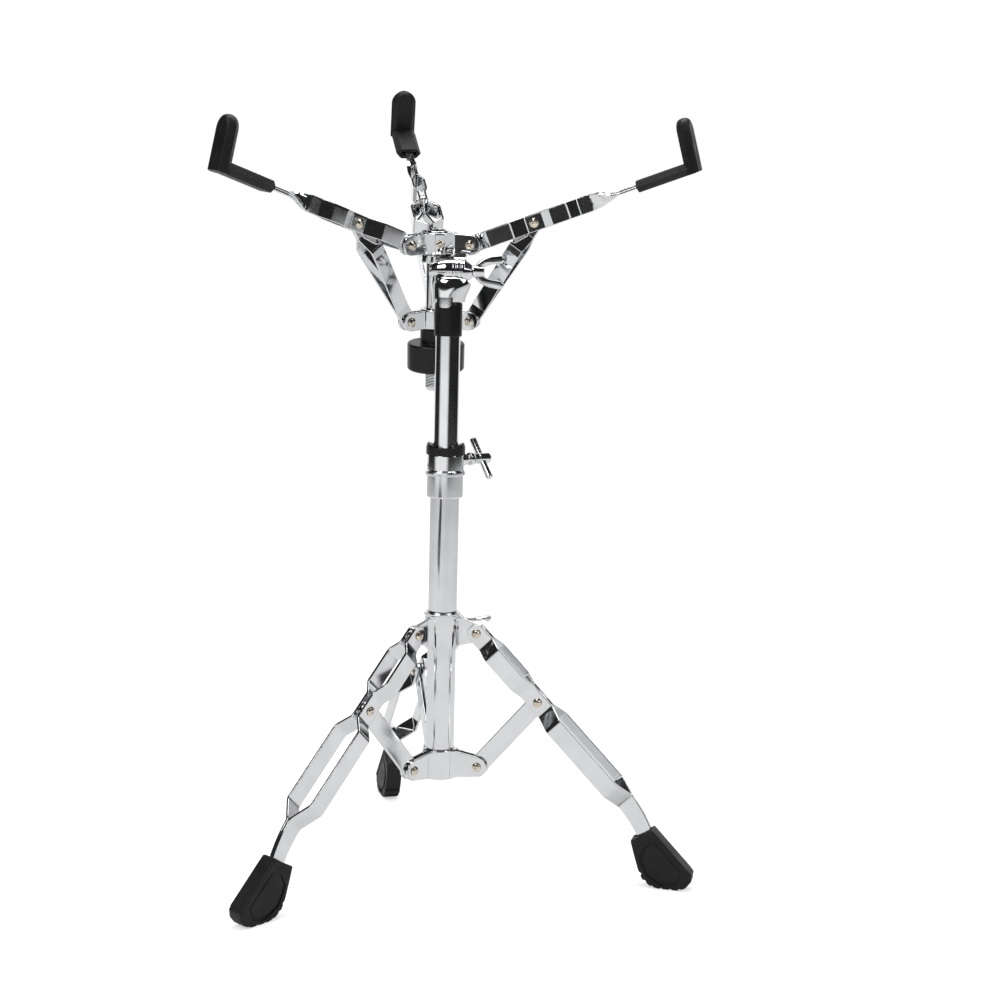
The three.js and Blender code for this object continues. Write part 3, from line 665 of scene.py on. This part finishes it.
def add_base_collar():
    wall = lathe(rounded([
        (TUBE_BORE, 70.9), (13.1, 70.9, 0.5), (13.5, 72, 0.4), (13.5, 93.4, 0.5), (12.8, 94.2, 0.4),
        (TUBE_BORE, 94.2),
    ], 0, 3))
    outline = ear_outline(8.6, 71.3, 93.8, BRACE_PIVOT, 8)
    path = [(8.0, 9.2), (15.0, EAR_MIDDLE), (44, EAR_MIDDLE)]
    collar = eared_collar(wall, outline, BRACE_PIVOT, path, azimuths(LEG, COLUMN))
    piece("base_collar", collar, COLUMN)


def leg_outline():
    """Round at the collar, drawn in and turned down towards the foot."""
    half = STRAP_WIDTH / 2
    lower = [Vector((168, -half))] + curve((168, -half), (184, -half), (198, -11.6))
    tip = [Vector((222, -17)), Vector((225, -6.5)), Vector((202, -0.4))]
    upper = curve((202, -0.4), (186, half - 1), (168, half))
    return arc((0, 0), half, 90, 270, 20) + lower + tip + upper


# Rubber foot: along the spine from its upper corner, and down into the foot from the spine
SPINE_TOP = Vector((171, 46))
SPINE_END = Vector((202.8, 13.4))
FOOT_WIDTH = 15
FOOT_SIDE = 13.6
GROOVE_RADIUS = 1.6
GROOVE_PITCH = 7.2
LAST_GROOVE = 194


def in_foot(points):
    """Points (along the spine, depth below it, radius) as (radius from the column, height)."""
    along = (SPINE_END - SPINE_TOP).normalized()
    inward = Vector((along.y, -along.x))
    return [(*(SPINE_TOP + along * p[0] + inward * p[1]), *p[2:]) for p in points]


def along_line(points, pitch):
    """Points on a line, evenly spaced from half a pitch after its start."""
    result = []
    carried = pitch / 2
    for start, end in zip(points, points[1:]):
        while carried < (end - start).length:
            result.append(start.lerp(end, carried / (end - start).length))
            carried += pitch
        carried -= (end - start).length
    return result


def foot_body():
    """A boot with a flat spine, a rim, a raised panel on each side and a scalloped sole."""
    sole = rounded([(161, 14), (164.4, 6.6), (171, 1.3), (177.5, 0), (192.5, 0), (198.2, 2.3), (202.2, 7.6)],
                   6, 6, closed=False)
    top = rounded([(202.2, 7.6), (202.8, 13.4, 2), (171, 46, 1.2), (164.4, 41.4, 1), (154.5, 36, 1.6),
                   (157, 27, 6), (161, 14)], 0, 4, closed=False)
    body = plate(sole + top[1:-1], FOOT_SIDE, 1.3, 0, (), 4)
    spine = rounded(in_foot([(0.6, 0.05), (43.6, 0.05), (43.6, 3.2), (0.6, 3.2)]), 1.1, 4)
    rim = rounded(in_foot([
        (0.3, 0.4), (4.2, 0.4), (3.0, 8.6), (0.2, 19.4), (-3.7, 18.2), (-0.9, 8.1),
    ]), 0.6, 3)
    channel = rounded(in_foot([
        (9, 7, 1), (39, 7, 3), (44.6, 12.5, 7), (38.5, 23.5, 9), (24, 27.8, 9), (9.5, 23, 8), (5.8, 13, 5),
    ]), 0, 7)
    panel = rounded(in_foot([
        (8, 5.2, 2), (38, 5.2, 3), (42, 12, 7), (36, 21, 9), (24, 25, 9), (11, 20.5, 8), (6.8, 12.5, 5),
    ]), 0, 7)
    for y in (-FOOT_SIDE / 2, FOOT_SIDE / 2):
        body = combined(body, plate(channel, 2.2, 0.3, y), "DIFFERENCE")
    for raised, lower, edge in ((panel, 0.5, 0.45), (rim, 0.3, 0.45), (spine, 0, 1)):
        body = combined(body, plate(raised, FOOT_WIDTH - lower, edge, 0, (), 4), "UNION")
    groove = lathe([(0, -12), (GROOVE_RADIUS, -12), (GROOVE_RADIUS, 12), (0, 12)], 20)
    groove = moved(groove, Matrix.Rotation(math.pi / 2, 4, "X"))
    for notch in along_line(sole, GROOVE_PITCH):
        if notch.x < LAST_GROOVE:
            body = combined(body, shifted(groove, notch.x, 0, notch.y - 0.4), "DIFFERENCE")
    pocket = plate([(184, -12), (223.4, -18), (226, -5.6), (184, 6)], 4.9, 0.1)
    return combined(body, moved(pocket, at(Matrix(), *LEG_PIVOT, -LEG_SLOPE)), "DIFFERENCE")


def add_legs():
    holes = [circle((0, 0), RIVET_HOLE), circle((LEG_MID, 0), RIVET_HOLE)]
    strap = bent(plate(leg_outline(), STRAP_THICKNESS, 0.45, 0, holes), LEG_PATH, 5)
    foot = foot_body()
    brace_holes = [circle((0, 0), RIVET_HOLE), circle((BRACE_LENGTH, 0), LOOSE_HOLE)]
    brace = plate(link_outline(BRACE_LENGTH, STRAP_WIDTH), 3.2, 0.7, 0, brace_holes)
    grip = PINCH + STRAP_THICKNESS / 2
    slope = math.radians(LEG_SLOPE)
    mid = (LEG_PIVOT[0] + LEG_MID * math.cos(slope), LEG_PIVOT[1] - LEG_MID * math.sin(slope))
    for side in SIDES:
        place = at(LEG[side], *LEG_PIVOT, -LEG_SLOPE)
        piece(f"leg_{side}_strap_a", strap, place)
        piece(f"leg_{side}_strap_b", mirrored(strap), place)
        piece(f"foot_{side}", foot, LEG[side], "black_rubber")
        add_rivet(f"leg_top_rivet_{side}", at(LEG[side], *LEG_PIVOT), grip)
        add_rivet(f"leg_mid_rivet_{side}", at(LEG[side], *mid), grip)
        piece(f"brace_{side}", brace, at(LEG[side], *BRACE_PIVOT, BRACE_SLOPE))
        add_rivet(f"brace_rivet_{side}", at(LEG[side], *BRACE_PIVOT), EAR_MIDDLE + EAR_THICKNESS / 2)


# ---- Tilter ----

TILTER_Z = 465
SOCKET_BOTTOM = 441.8
SEAM = 3.0  # where the barrel's halves meet, to the right of its middle
TILTER_BORE = 3.3


def casting(rows, points=64):
    """A solid with oval level sections, given as (height, left, right, half its depth)."""
    sections = []
    for height, left, right, depth in rows:
        middle, half = (left + right) / 2, (right - left) / 2
        angles = [math.tau * k / points for k in range(points)]
        sections.append([Vector((middle + half * math.cos(a), depth * math.sin(a), height)) for a in angles])
    return loft(sections)


def along_barrel(radius, start, end, facets=64):
    """A cylinder on the tilter's axis."""
    return lying(lathe([(0, start), (radius, start), (radius, end), (0, end)], facets))


def add_tilter_base():
    """A socket on the tube that widens into a cradle, with a tongue over the sleeve and half the barrel."""
    dome = lathe(rounded([
        (0, -15.4), (3.9, -15.4, 1.2), (5.4, -13.4, 2), (7.6, -8.6, 3), (9.2, -3, 4), (9.4, 0, 1),
        (9.4, SEAM - 0.2, 0.4), (0, SEAM - 0.2),
    ], 0, 4))
    socket = casting([
        (SOCKET_BOTTOM, -11.6, 11.6, 11.6), (SOCKET_BOTTOM + 0.6, -12.1, 12.1, 12.0),
        (446, -12.5, 13.0, 12.2), (449, -12.9, 14.4, 12.4), (452, -13.3, 15.8, 12.5),
        (454.6, -13.6, 16.7, 12.4), (457, -13.7, 17.2, 11.9), (459, -13.3, 16.9, 10.9),
        (460.4, -12.4, 16.0, 9.2),
    ])
    cheek = casting([(455, -13.6, SEAM, 8.9), (460.5, -13.2, SEAM, 8.6), (464.6, -11.6, SEAM, 7.6)])
    body = combined(socket, shifted(along_barrel(9.9, SEAM - 0.2, 24), 0, 0, TILTER_Z), "DIFFERENCE")
    cheek = combined(cheek, shifted(along_barrel(30, SEAM - 0.2, 24), 0, 0, TILTER_Z), "DIFFERENCE")
    body = combined(combined(body, cheek, "UNION"), shifted(lying(dome), 0, 0, TILTER_Z), "UNION")
    shell = lathe(rounded([(10.95, 437), (12.3, 437, 0.6), (12.3, 445), (10.95, 445)], 0, 4))
    tongue = rounded([(-8.6, 447), (-8.6, 437.2, 5.6), (3.4, 437.2, 5.6), (3.4, 447)], 0, 8)
    body = combined(body, combined(shell, plate(tongue, 16, 0.3, -8), "INTERSECT"), "UNION")
    bore = lathe([(0, 430), (UPPER_BORE, 430), (UPPER_BORE, 447.3), (0, 447.3)])
    body = combined(body, bore, "DIFFERENCE")
    bolt_hole = shifted(along_barrel(TILTER_BORE, -10.9, 4), 0, 0, TILTER_Z)
    piece("tilter_base", combined(body, bolt_hole, "DIFFERENCE"), COLUMN)


def add_tilter_head():
    """The right half of the barrel, with the arm and the ring that carry the basket."""
    axis = BASKET.inverted() @ tilt_axis
    cone = lathe(rounded([
        (0, SEAM), (9.6, SEAM, 0.3), (9.6, 4.8, 0.5), (8.9, 5.2, 0.2), (8.9, 6.0, 0.2), (9.6, 6.4, 0.5),
        (9.6, 8.4, 0.5), (8.9, 8.8, 0.2), (8.9, 9.6, 0.2), (9.4, 10, 0.4), (8.9, 11.6, 0.8),
        (4.8, 17.4, 0.6), (0, 17.4),
    ], 0, 4))
    cone = moved(lying(cone), Matrix.Translation(axis))
    top, bottom = -8.6, -15.4
    y, z = axis.y, axis.z
    side = rounded([
        (y - 3, z + 7, 3), (y + 1, z + 10.5, 4), (-16, z + 10.5, 3), (-16, top, 1.5), (-5, top, 1),
        (-5, bottom, 1), (-26, bottom - 1.2, 4), (y, z - 4, 3),
    ], 0, 5)
    stand_up = Matrix(((0, 1, 0, axis.x + SEAM + 4.8), (1, 0, 0, 0), (0, 0, 1, 0), (0, 0, 0, 1)))
    arm = moved(plate(side, 9.6, 0.8, 0, (), 4), stand_up)
    collar = lathe(rounded([(ROD_BORE, bottom), (12.6, bottom, 1), (12.6, top, 1), (ROD_BORE, top)], 0, 4))
    tie_end = axis.x + SEAM + 6
    tie = plate(rounded([
        (0.5, bottom + 0.3), (tie_end, bottom + 0.3), (tie_end, top - 0.2), (0.5, top - 0.2),
    ], 1, 3), 8.6, 0.8, -8)
    body = combined(combined(combined(cone, arm, "UNION"), collar, "UNION"), tie, "UNION")
    bolt_hole = moved(along_barrel(TILTER_BORE, -2, 22), Matrix.Translation(axis))
    rod_hole = lathe([(0, bottom - 10), (ROD_BORE, bottom - 10), (ROD_BORE, top + 10), (0, top + 10)])
    body = combined(combined(body, bolt_hole, "DIFFERENCE"), rod_hole, "DIFFERENCE")
    piece("tilter_head", body, BASKET)


def add_wing_nut():
    bolt = rod_thread(3.0, 0.3, 1.0, -10.6, 25, 32, 0)
    place = COLUMN @ Matrix.Translation((0, 0, TILTER_Z))
    piece("tilter_bolt", lying(bolt), place)
    hub = lathe(rounded([
        (TILTER_BORE, 17.8), (4.6, 17.8, 0.6), (4.3, 22, 0.5), (4.0, 26.5, 0.8), (TILTER_BORE, 26.5),
    ], 0, 4), 48)
    outline = ([Vector((19, 2)), Vector((25.4, 2))] + curve((25.4, 2), (26.4, 5.6), (38.6, 6.4))
               + arc((38.4, 9.6), 3.2, -80, 90, 10) + curve((38.4, 12.8), (21, 11.6), (19, 2))[:-1])
    wing = plate(outline, 3.6, 1.5, 0, (), 5)
    nut = combined(lying(hub), wing, "UNION")
    nut = combined(nut, moved(wing, Matrix.Rotation(math.pi, 4, "X")), "UNION")
    bore = along_barrel(TILTER_BORE, 15, 30, 32)
    piece("tilter_wing_nut", combined(nut, bore, "DIFFERENCE"), place)


# ---- Basket ----

HUB_PIVOT = (28.5, 0)
SLIDER_PIVOT = (28.8, -59.5)
ROD_BORE = 8.8
ARM_SLOPE = 21.9
ARM_MID = 55.1
ARM_WIDTH = 13
ARM_THICKNESS = 1.6
ARM_WELD = 0.8
ARM_OFFSET = 2.85
LINK_WIDTH = 12
LINK_LENGTH = 94.823
LINK_SLOPE = -122.41
LINK_PINCH = 0.95
ARM_PATH = [
    (-8, ARM_WELD), (9, ARM_WELD), (17, 11.5), (39.5, 11.5), (48, ARM_OFFSET), (63, ARM_OFFSET),
    (70, 5), (84, 5), (92, ARM_WELD), (150, ARM_WELD),
]
LINK_PATH = [
    (-8, LINK_PINCH), (11.5, LINK_PINCH), (22, 8.6), (28, 8.6), (82, LINK_PINCH), (104, LINK_PINCH),
]
TWIST_START = 101
TWIST_END = 126.8
NECK_HALF = 3.35
TWIST_STEPS = 28


def add_basket_core():
    spread = azimuths(ARM, BASKET)
    hub = lathe(rounded([
        (ROD_BORE, -8.3), (12.4, -8.3, 0.6), (13, -7.2, 0.5), (13, 7.2, 0.5), (12.4, 8.3, 0.6),
        (ROD_BORE, 8.3),
    ], 0, 3))
    outline = ear_outline(8.8, -7.9, 7.9, HUB_PIVOT, 7.9)
    path = [(8.2, 8.9), (14.8, EAR_MIDDLE), (40, EAR_MIDDLE)]
    piece("basket_hub", eared_collar(hub, outline, HUB_PIVOT, path, spread), BASKET)

    wall = lathe(rounded([
        (ROD_BORE, -67), (12.4, -67, 0.5), (13, -66.2, 0.4), (13, -52.8, 0.4), (12.4, -52, 0.5),
        (ROD_BORE, -52),
    ], 0, 3))
    outline = ear_outline(8.8, -66.6, -52.4, SLIDER_PIVOT, 7.1)
    piece("basket_collar", eared_collar(wall, outline, SLIDER_PIVOT, path, spread), BASKET)

    thread = rod_thread(8.5, 0.3, 1.25, -114.5, -66, 72, 6.4)
    plain = lathe(rounded([(6.4, -66), (8.5, -66), (8.5, 9.4, 0.8), (6.4, 9.4, 0.3)], 0, 3))
    tip = lathe(rounded([(6.4, -117.5), (6.9, -117.5, 0.3), (8.2, -114.5, 0.2), (6.4, -114.5)], 0, 3))
    piece("basket_rod", merged(thread, plain, tip), BASKET)

    knob = lathe(rounded([
        (ROD_BORE, -100.9), (21.6, -100.9, 1.4), (22.6, -99.4, 1.0), (22.7, -80.6, 1.1), (21.9, -79.4, 0.8),
        (13.4, -79.4, 0.8), (12.5, -78.4, 0.5), (12.5, -67.4, 0.6), (ROD_BORE, -67.4),
    ], 0, 5))
    piece("basket_knob", knob, BASKET, "black_plastic")

    screw = lathe(rounded([
        (0, 13.3), (3.2, 13.3), (3.2, 15.0, 0.7), (1.5, 15.9, 0.2), (1.1, 14.6), (0, 14.6),
    ], 0, 4), 40)
    piece("hub_screw", lying(screw), turned(BASKET, -78.5), "rivet_metal")


def arm_outline():
    """Round at the hub and straight, then drawn in to a narrow neck that enters the grip."""
    half = ARM_WIDTH / 2
    return (arc((0, 0), half, 90, 270, 18) + [Vector((TWIST_START, -half))]
            + [Vector((TWIST_END, -NECK_HALF)), Vector((148, -NECK_HALF)), Vector((148, NECK_HALF))]
            + [Vector((TWIST_END, NECK_HALF)), Vector((TWIST_START, half))])


def twisted(corner):
    """Turns the neck from upright to flat, easing in and out."""
    share = min(max((corner.x - TWIST_START) / (TWIST_END - TWIST_START), 0), 1)
    eased = share * share * (3 - 2 * share)
    return Matrix.Rotation(math.pi / 2 * eased, 3, "X") @ corner


# Rubber grip, along and across the arm
GRIP_START = 141
GRIP_END = 188.4
GRIP_INNER = 178.4
GRIP_HALF = 10.5
GRIP_UNDER = -4.7
GRIP_SEAT = 4.3
GRIP_TOP = 35.3
GRIP_LEAN = 6
HOOK_AT = 183.6
HOOK_ROOM = 0.35
# Through the grip's thickness: how far through, and what the sides and the round top lose there
GRIP_LAYERS = (
    (0, 4.6, 3.6), (0.012, 4.1, 2.7), (0.05, 3.5, 1.8), (0.11, 3.0, 1.1), (0.22, 2.1, 0.5),
    (0.34, 1.2, 0.15), (0.44, 0.5, 0), (0.48, 0.15, 0), (0.5, 0, 0), (0.52, 0.15, 0), (0.56, 0.5, 0),
    (0.66, 1.2, 0.15), (0.78, 2.1, 0.5), (0.89, 3.0, 1.1), (0.95, 3.5, 1.8), (0.988, 4.1, 2.7),
    (1, 4.6, 3.6),
)


def leaned(body):
    """Leans what stands at the grip's end outwards."""
    pivot = Matrix.Translation((GRIP_END, 0, GRIP_UNDER))
    return moved(body, pivot @ Matrix.Rotation(math.radians(GRIP_LEAN), 4, "Y") @ pivot.inverted())


def box(x, half, bottom, top):
    """A box from one x to another."""
    outline = [(x[0], bottom), (x[1], bottom), (x[1], top), (x[0], top)]
    return layered(outline, [(0, -half), (0, half)])


def hook_body(room, start):
    flat = box((start, HOOK_AT + 1.3 + room), 6.2 + room, -1.3 - room, 1.3 + room)
    upright = leaned(box((HOOK_AT - 1.3 - room, HOOK_AT + 1.3 + room), 6.2 + room, -1.3 - room, 26 + room))
    return combined(flat, upright, "UNION")


def grip_upright():
    centre = GRIP_TOP - GRIP_HALF
    sections = []
    for share, side_loss, top_loss in GRIP_LAYERS:
        x = GRIP_INNER + (GRIP_END - GRIP_INNER) * share
        half, rise = GRIP_HALF - side_loss, GRIP_HALF - top_loss
        base = GRIP_UNDER + top_loss * 0.1 - (GRIP_END - x) * math.sin(math.radians(GRIP_LEAN))
        section = [Vector((x, -half, base)), Vector((x, half, base))]
        for point in arc((0, 0), 1, 0, 180, 28):
            section.append(Vector((x, point.x * half, centre + point.y * rise)))
        sections.append(section)
    return leaned(loft(sections))


def grip_sleeve():
    """A six-sided sleeve, which ends inside the upright where that is widest."""
    height = GRIP_SEAT - GRIP_UNDER
    middle = GRIP_UNDER + height / 2
    side = [(GRIP_HALF - side_loss, GRIP_UNDER + height * share) for share, side_loss, _ in GRIP_LAYERS]
    outline = side + [(-y, z) for y, z in reversed(side)]
    sections = []
    for x, size in ((GRIP_START, 0.93), (GRIP_START + 0.3, 0.98), (GRIP_START + 0.9, 1), (GRIP_INNER, 1),
                    (GRIP_INNER + 5, 0.90)):
        sections.append([Vector((x, y * size, middle + (z - middle) * size)) for y, z in outline])
    return loft(sections)


def grip_body():
    """An upright that leans outwards and a sleeve over the arm, with room for the arm's hook."""
    body = combined(grip_upright(), grip_sleeve(), "UNION")
    return combined(body, hook_body(HOOK_ROOM, GRIP_START - 4), "DIFFERENCE")


def add_spokes():
    holes = [circle((0, 0), RIVET_HOLE), circle((ARM_MID, 0), RIVET_HOLE)]
    strap = bent(plate(arm_outline(), ARM_THICKNESS, 0.4, 0, holes), ARM_PATH, 4.5)
    span = TWIST_END - TWIST_START
    cuts = [TWIST_START + span * k / TWIST_STEPS for k in range(TWIST_STEPS + 1)]
    pair = merged(*[warped(half, cuts, twisted) for half in (strap, mirrored(strap))])
    arm = merged(pair, hook_body(0, 147.5))
    grip = grip_body()
    link_holes = [circle((0, 0), LOOSE_HOLE), circle((LINK_LENGTH, 0), RIVET_HOLE)]
    link = plate(link_outline(LINK_LENGTH, LINK_WIDTH), ARM_THICKNESS, 0.4, 0, link_holes)
    link = bent(link, LINK_PATH, 4)
    slope = math.radians(ARM_SLOPE)
    mid = (HUB_PIVOT[0] + ARM_MID * math.cos(slope), ARM_MID * math.sin(slope))
    for side in SIDES:
        place = at(ARM[side], *HUB_PIVOT, ARM_SLOPE)
        piece(f"arm_{side}", arm, place)
        piece(f"grip_{side}", grip, place, "black_rubber")
        for letter, half in (("a", link), ("b", mirrored(link))):
            piece(f"link_{side}_{letter}", half, at(ARM[side], *mid, LINK_SLOPE))
        ear_grip = EAR_MIDDLE + EAR_THICKNESS / 2
        add_rivet(f"hub_rivet_{side}", at(ARM[side], *HUB_PIVOT), ear_grip)
        add_rivet(f"arm_rivet_{side}", at(ARM[side], *mid), ARM_OFFSET + ARM_THICKNESS / 2)
        add_rivet(f"collar_rivet_{side}", at(ARM[side], *SLIDER_PIVOT), ear_grip)


# ---- Studio ----

CAMERA_PLACE = (0.02644, -1.31417, 0.452)
CAMERA_PITCH = 82.82
CAMERA_ROLL = 1.41
CAMERA_LENS = 60.12
FLOOR_CENTRE = (0.15, 0.20)
FLOOR_RADIUS = 2.9
FLOOR_LIFT = 0.5  # how much whiter the camera sees the floor than a mirror does
MIRROR_DARK = 0.016  # what a mirror sees where there is no white panel


def add_camera():
    data = bpy.data.cameras.new("camera")
    data.lens = CAMERA_LENS
    data.sensor_width = 36
    data.clip_end = 100
    camera = bpy.data.objects.new("camera", data)
    pitch = Matrix.Rotation(math.radians(CAMERA_PITCH), 4, "X")
    roll = Matrix.Rotation(math.radians(CAMERA_ROLL), 4, "Z")
    camera.matrix_world = Matrix.Translation(CAMERA_PLACE) @ pitch @ roll
    bpy.context.scene.collection.objects.link(camera)
    bpy.context.scene.camera = camera


def add_card(name, outline, height, material):
    mesh = bpy.data.meshes.new(name)
    mesh.from_pydata([(x, y, height) for x, y in outline], [], [tuple(range(len(outline)))])
    card = bpy.data.objects.new(name, mesh)
    mesh.materials.append(material)
    bpy.context.scene.collection.objects.link(card)
    return card


def add_floor():
    """A round pale floor that fades into the white background, and a dark card that only mirrors see."""
    material, tree, shader = new_material("pale_floor")
    tree.links.new(ramp(tree, noise(tree, 3, 4), [(0.3, 0.50), (0.7, 0.52)]), shader.inputs["Base Color"])
    shader.inputs["Roughness"].default_value = 0.9
    shader.inputs["Specular IOR Level"].default_value = 0.05
    rays = tree.nodes.new("ShaderNodeLightPath")
    lift = tree.nodes.new("ShaderNodeMath")
    lift.operation = "MULTIPLY"
    lift.inputs[1].default_value = FLOOR_LIFT
    tree.links.new(rays.outputs["Is Camera Ray"], lift.inputs[0])
    tree.links.new(lift.outputs[0], shader.inputs["Emission Strength"])
    shader.inputs["Emission Color"].default_value = (1, 1, 1, 1)
    rim = [(FLOOR_CENTRE[0] + p.x, FLOOR_CENTRE[1] + p.y) for p in arc((0, 0), FLOOR_RADIUS, 0, 354, 59)]
    add_card("floor", rim, 0, material)
    dark, tree, shader = new_material("dark_card")
    tree.links.new(ramp(tree, noise(tree, 5, 2), [(0.3, 0.010), (0.7, 0.016)]), shader.inputs["Base Color"])
    card = add_card("dark_card", [(-1.45, -2.3), (-0.72, -2.3), (-0.66, -1.22), (-1.2, -1.0)], 0.004, dark)
    for kind in ("camera", "diffuse", "shadow", "transmission", "volume_scatter"):
        setattr(card, f"visible_{kind}", False)


def add_light(name, place, target, width, height, power):
    data = bpy.data.lights.new(name, "AREA")
    data.shape = "RECTANGLE"
    data.size = width
    data.size_y = height
    data.energy = power
    light = bpy.data.objects.new(name, data)
    light.visible_camera = False
    direction = Vector(target) - Vector(place)
    light.matrix_world = Matrix.Translation(place) @ direction.to_track_quat("-Z", "Y").to_matrix().to_4x4()
    bpy.context.scene.collection.objects.link(light)


def add_world():
    """White all round, but mostly dark to a mirror, as in a studio with the lights overhead."""
    world = bpy.data.worlds.new("studio")
    bpy.context.scene.world = world
    world.use_nodes = True
    tree = world.node_tree
    nodes, link = tree.nodes, tree.links.new
    nodes.clear()
    direction = nodes.new("ShaderNodeTexCoord").outputs["Generated"]
    split = nodes.new("ShaderNodeSeparateXYZ")
    link(direction, split.inputs["Vector"])

    def math_node(operation, first, second):
        node = nodes.new("ShaderNodeMath")
        node.operation = operation
        for socket, value in zip(node.inputs, (first, second)):
            if isinstance(value, (int, float)):
                socket.default_value = value
            else:
                link(value, socket)
        return node.outputs[0]

    def spread(value, low, high):
        node = nodes.new("ShaderNodeMapRange")
        node.interpolation_type = "SMOOTHSTEP"
        node.inputs["From Min"].default_value = low
        node.inputs["From Max"].default_value = high
        link(value, node.inputs["Value"])
        return node.outputs["Result"]

    x, y, z = split.outputs
    # A mirror sees a white backdrop behind the stand and a low white panel in front, to the left
    back = spread(y, 0.50, 0.86)
    back_low = spread(math_node("MULTIPLY", z, -1), -0.80, -0.40)
    across = math_node("ADD", math_node("MULTIPLY", y, -0.90), math_node("MULTIPLY", x, -0.42))
    panel = spread(across, 0.62, 0.90)
    below = math_node("MULTIPLY", z, -1)
    panel_band = math_node("MULTIPLY", spread(below, 0.004, 0.03), spread(z, -0.144, -0.130))
    backdrop = math_node("MULTIPLY", back, back_low)
    seen = math_node("MAXIMUM", backdrop, math_node("MULTIPLY", panel, panel_band))
    studio = nodes.new("ShaderNodeBackground")
    link(math_node("ADD", seen, MIRROR_DARK), studio.inputs["Strength"])
    rays = nodes.new("ShaderNodeLightPath")
    fill = nodes.new("ShaderNodeBackground")
    fill.inputs["Strength"].default_value = 0.95
    white = nodes.new("ShaderNodeBackground")
    white.inputs["Strength"].default_value = 1.0
    for background in (studio, fill, white):
        background.inputs["Color"].default_value = (1, 1, 1, 1)
    shaded = nodes.new("ShaderNodeMixShader")
    link(rays.outputs["Is Glossy Ray"], shaded.inputs["Fac"])
    link(fill.outputs[0], shaded.inputs[1])
    link(studio.outputs[0], shaded.inputs[2])
    final = nodes.new("ShaderNodeMixShader")
    link(rays.outputs["Is Camera Ray"], final.inputs["Fac"])
    link(shaded.outputs[0], final.inputs[1])
    link(white.outputs[0], final.inputs[2])
    link(final.outputs[0], nodes.new("ShaderNodeOutputWorld").inputs["Surface"])


def add_studio():
    add_camera()
    add_floor()
    add_world()
    add_light("key_left", (-1.1, -1.3, 1.9), (0, 0, 0.35), 1.0, 1.0, 20)
    add_light("fill_right", (1.5, -0.7, 1.6), (0, 0, 0.35), 0.5, 1.4, 8)
    add_light("top", (0, 0.3, 2.2), (0, 0, 0.2), 1.6, 1.0, 24)
    bpy.context.scene.view_settings.view_transform = "Standard"


add_studio()
add_column()
add_clamp()
add_t_bolt()
add_leg_collar()
add_base_collar()
add_legs()
add_tilter_base()
add_tilter_head()
add_wing_nut()
add_basket_core()
add_spokes()
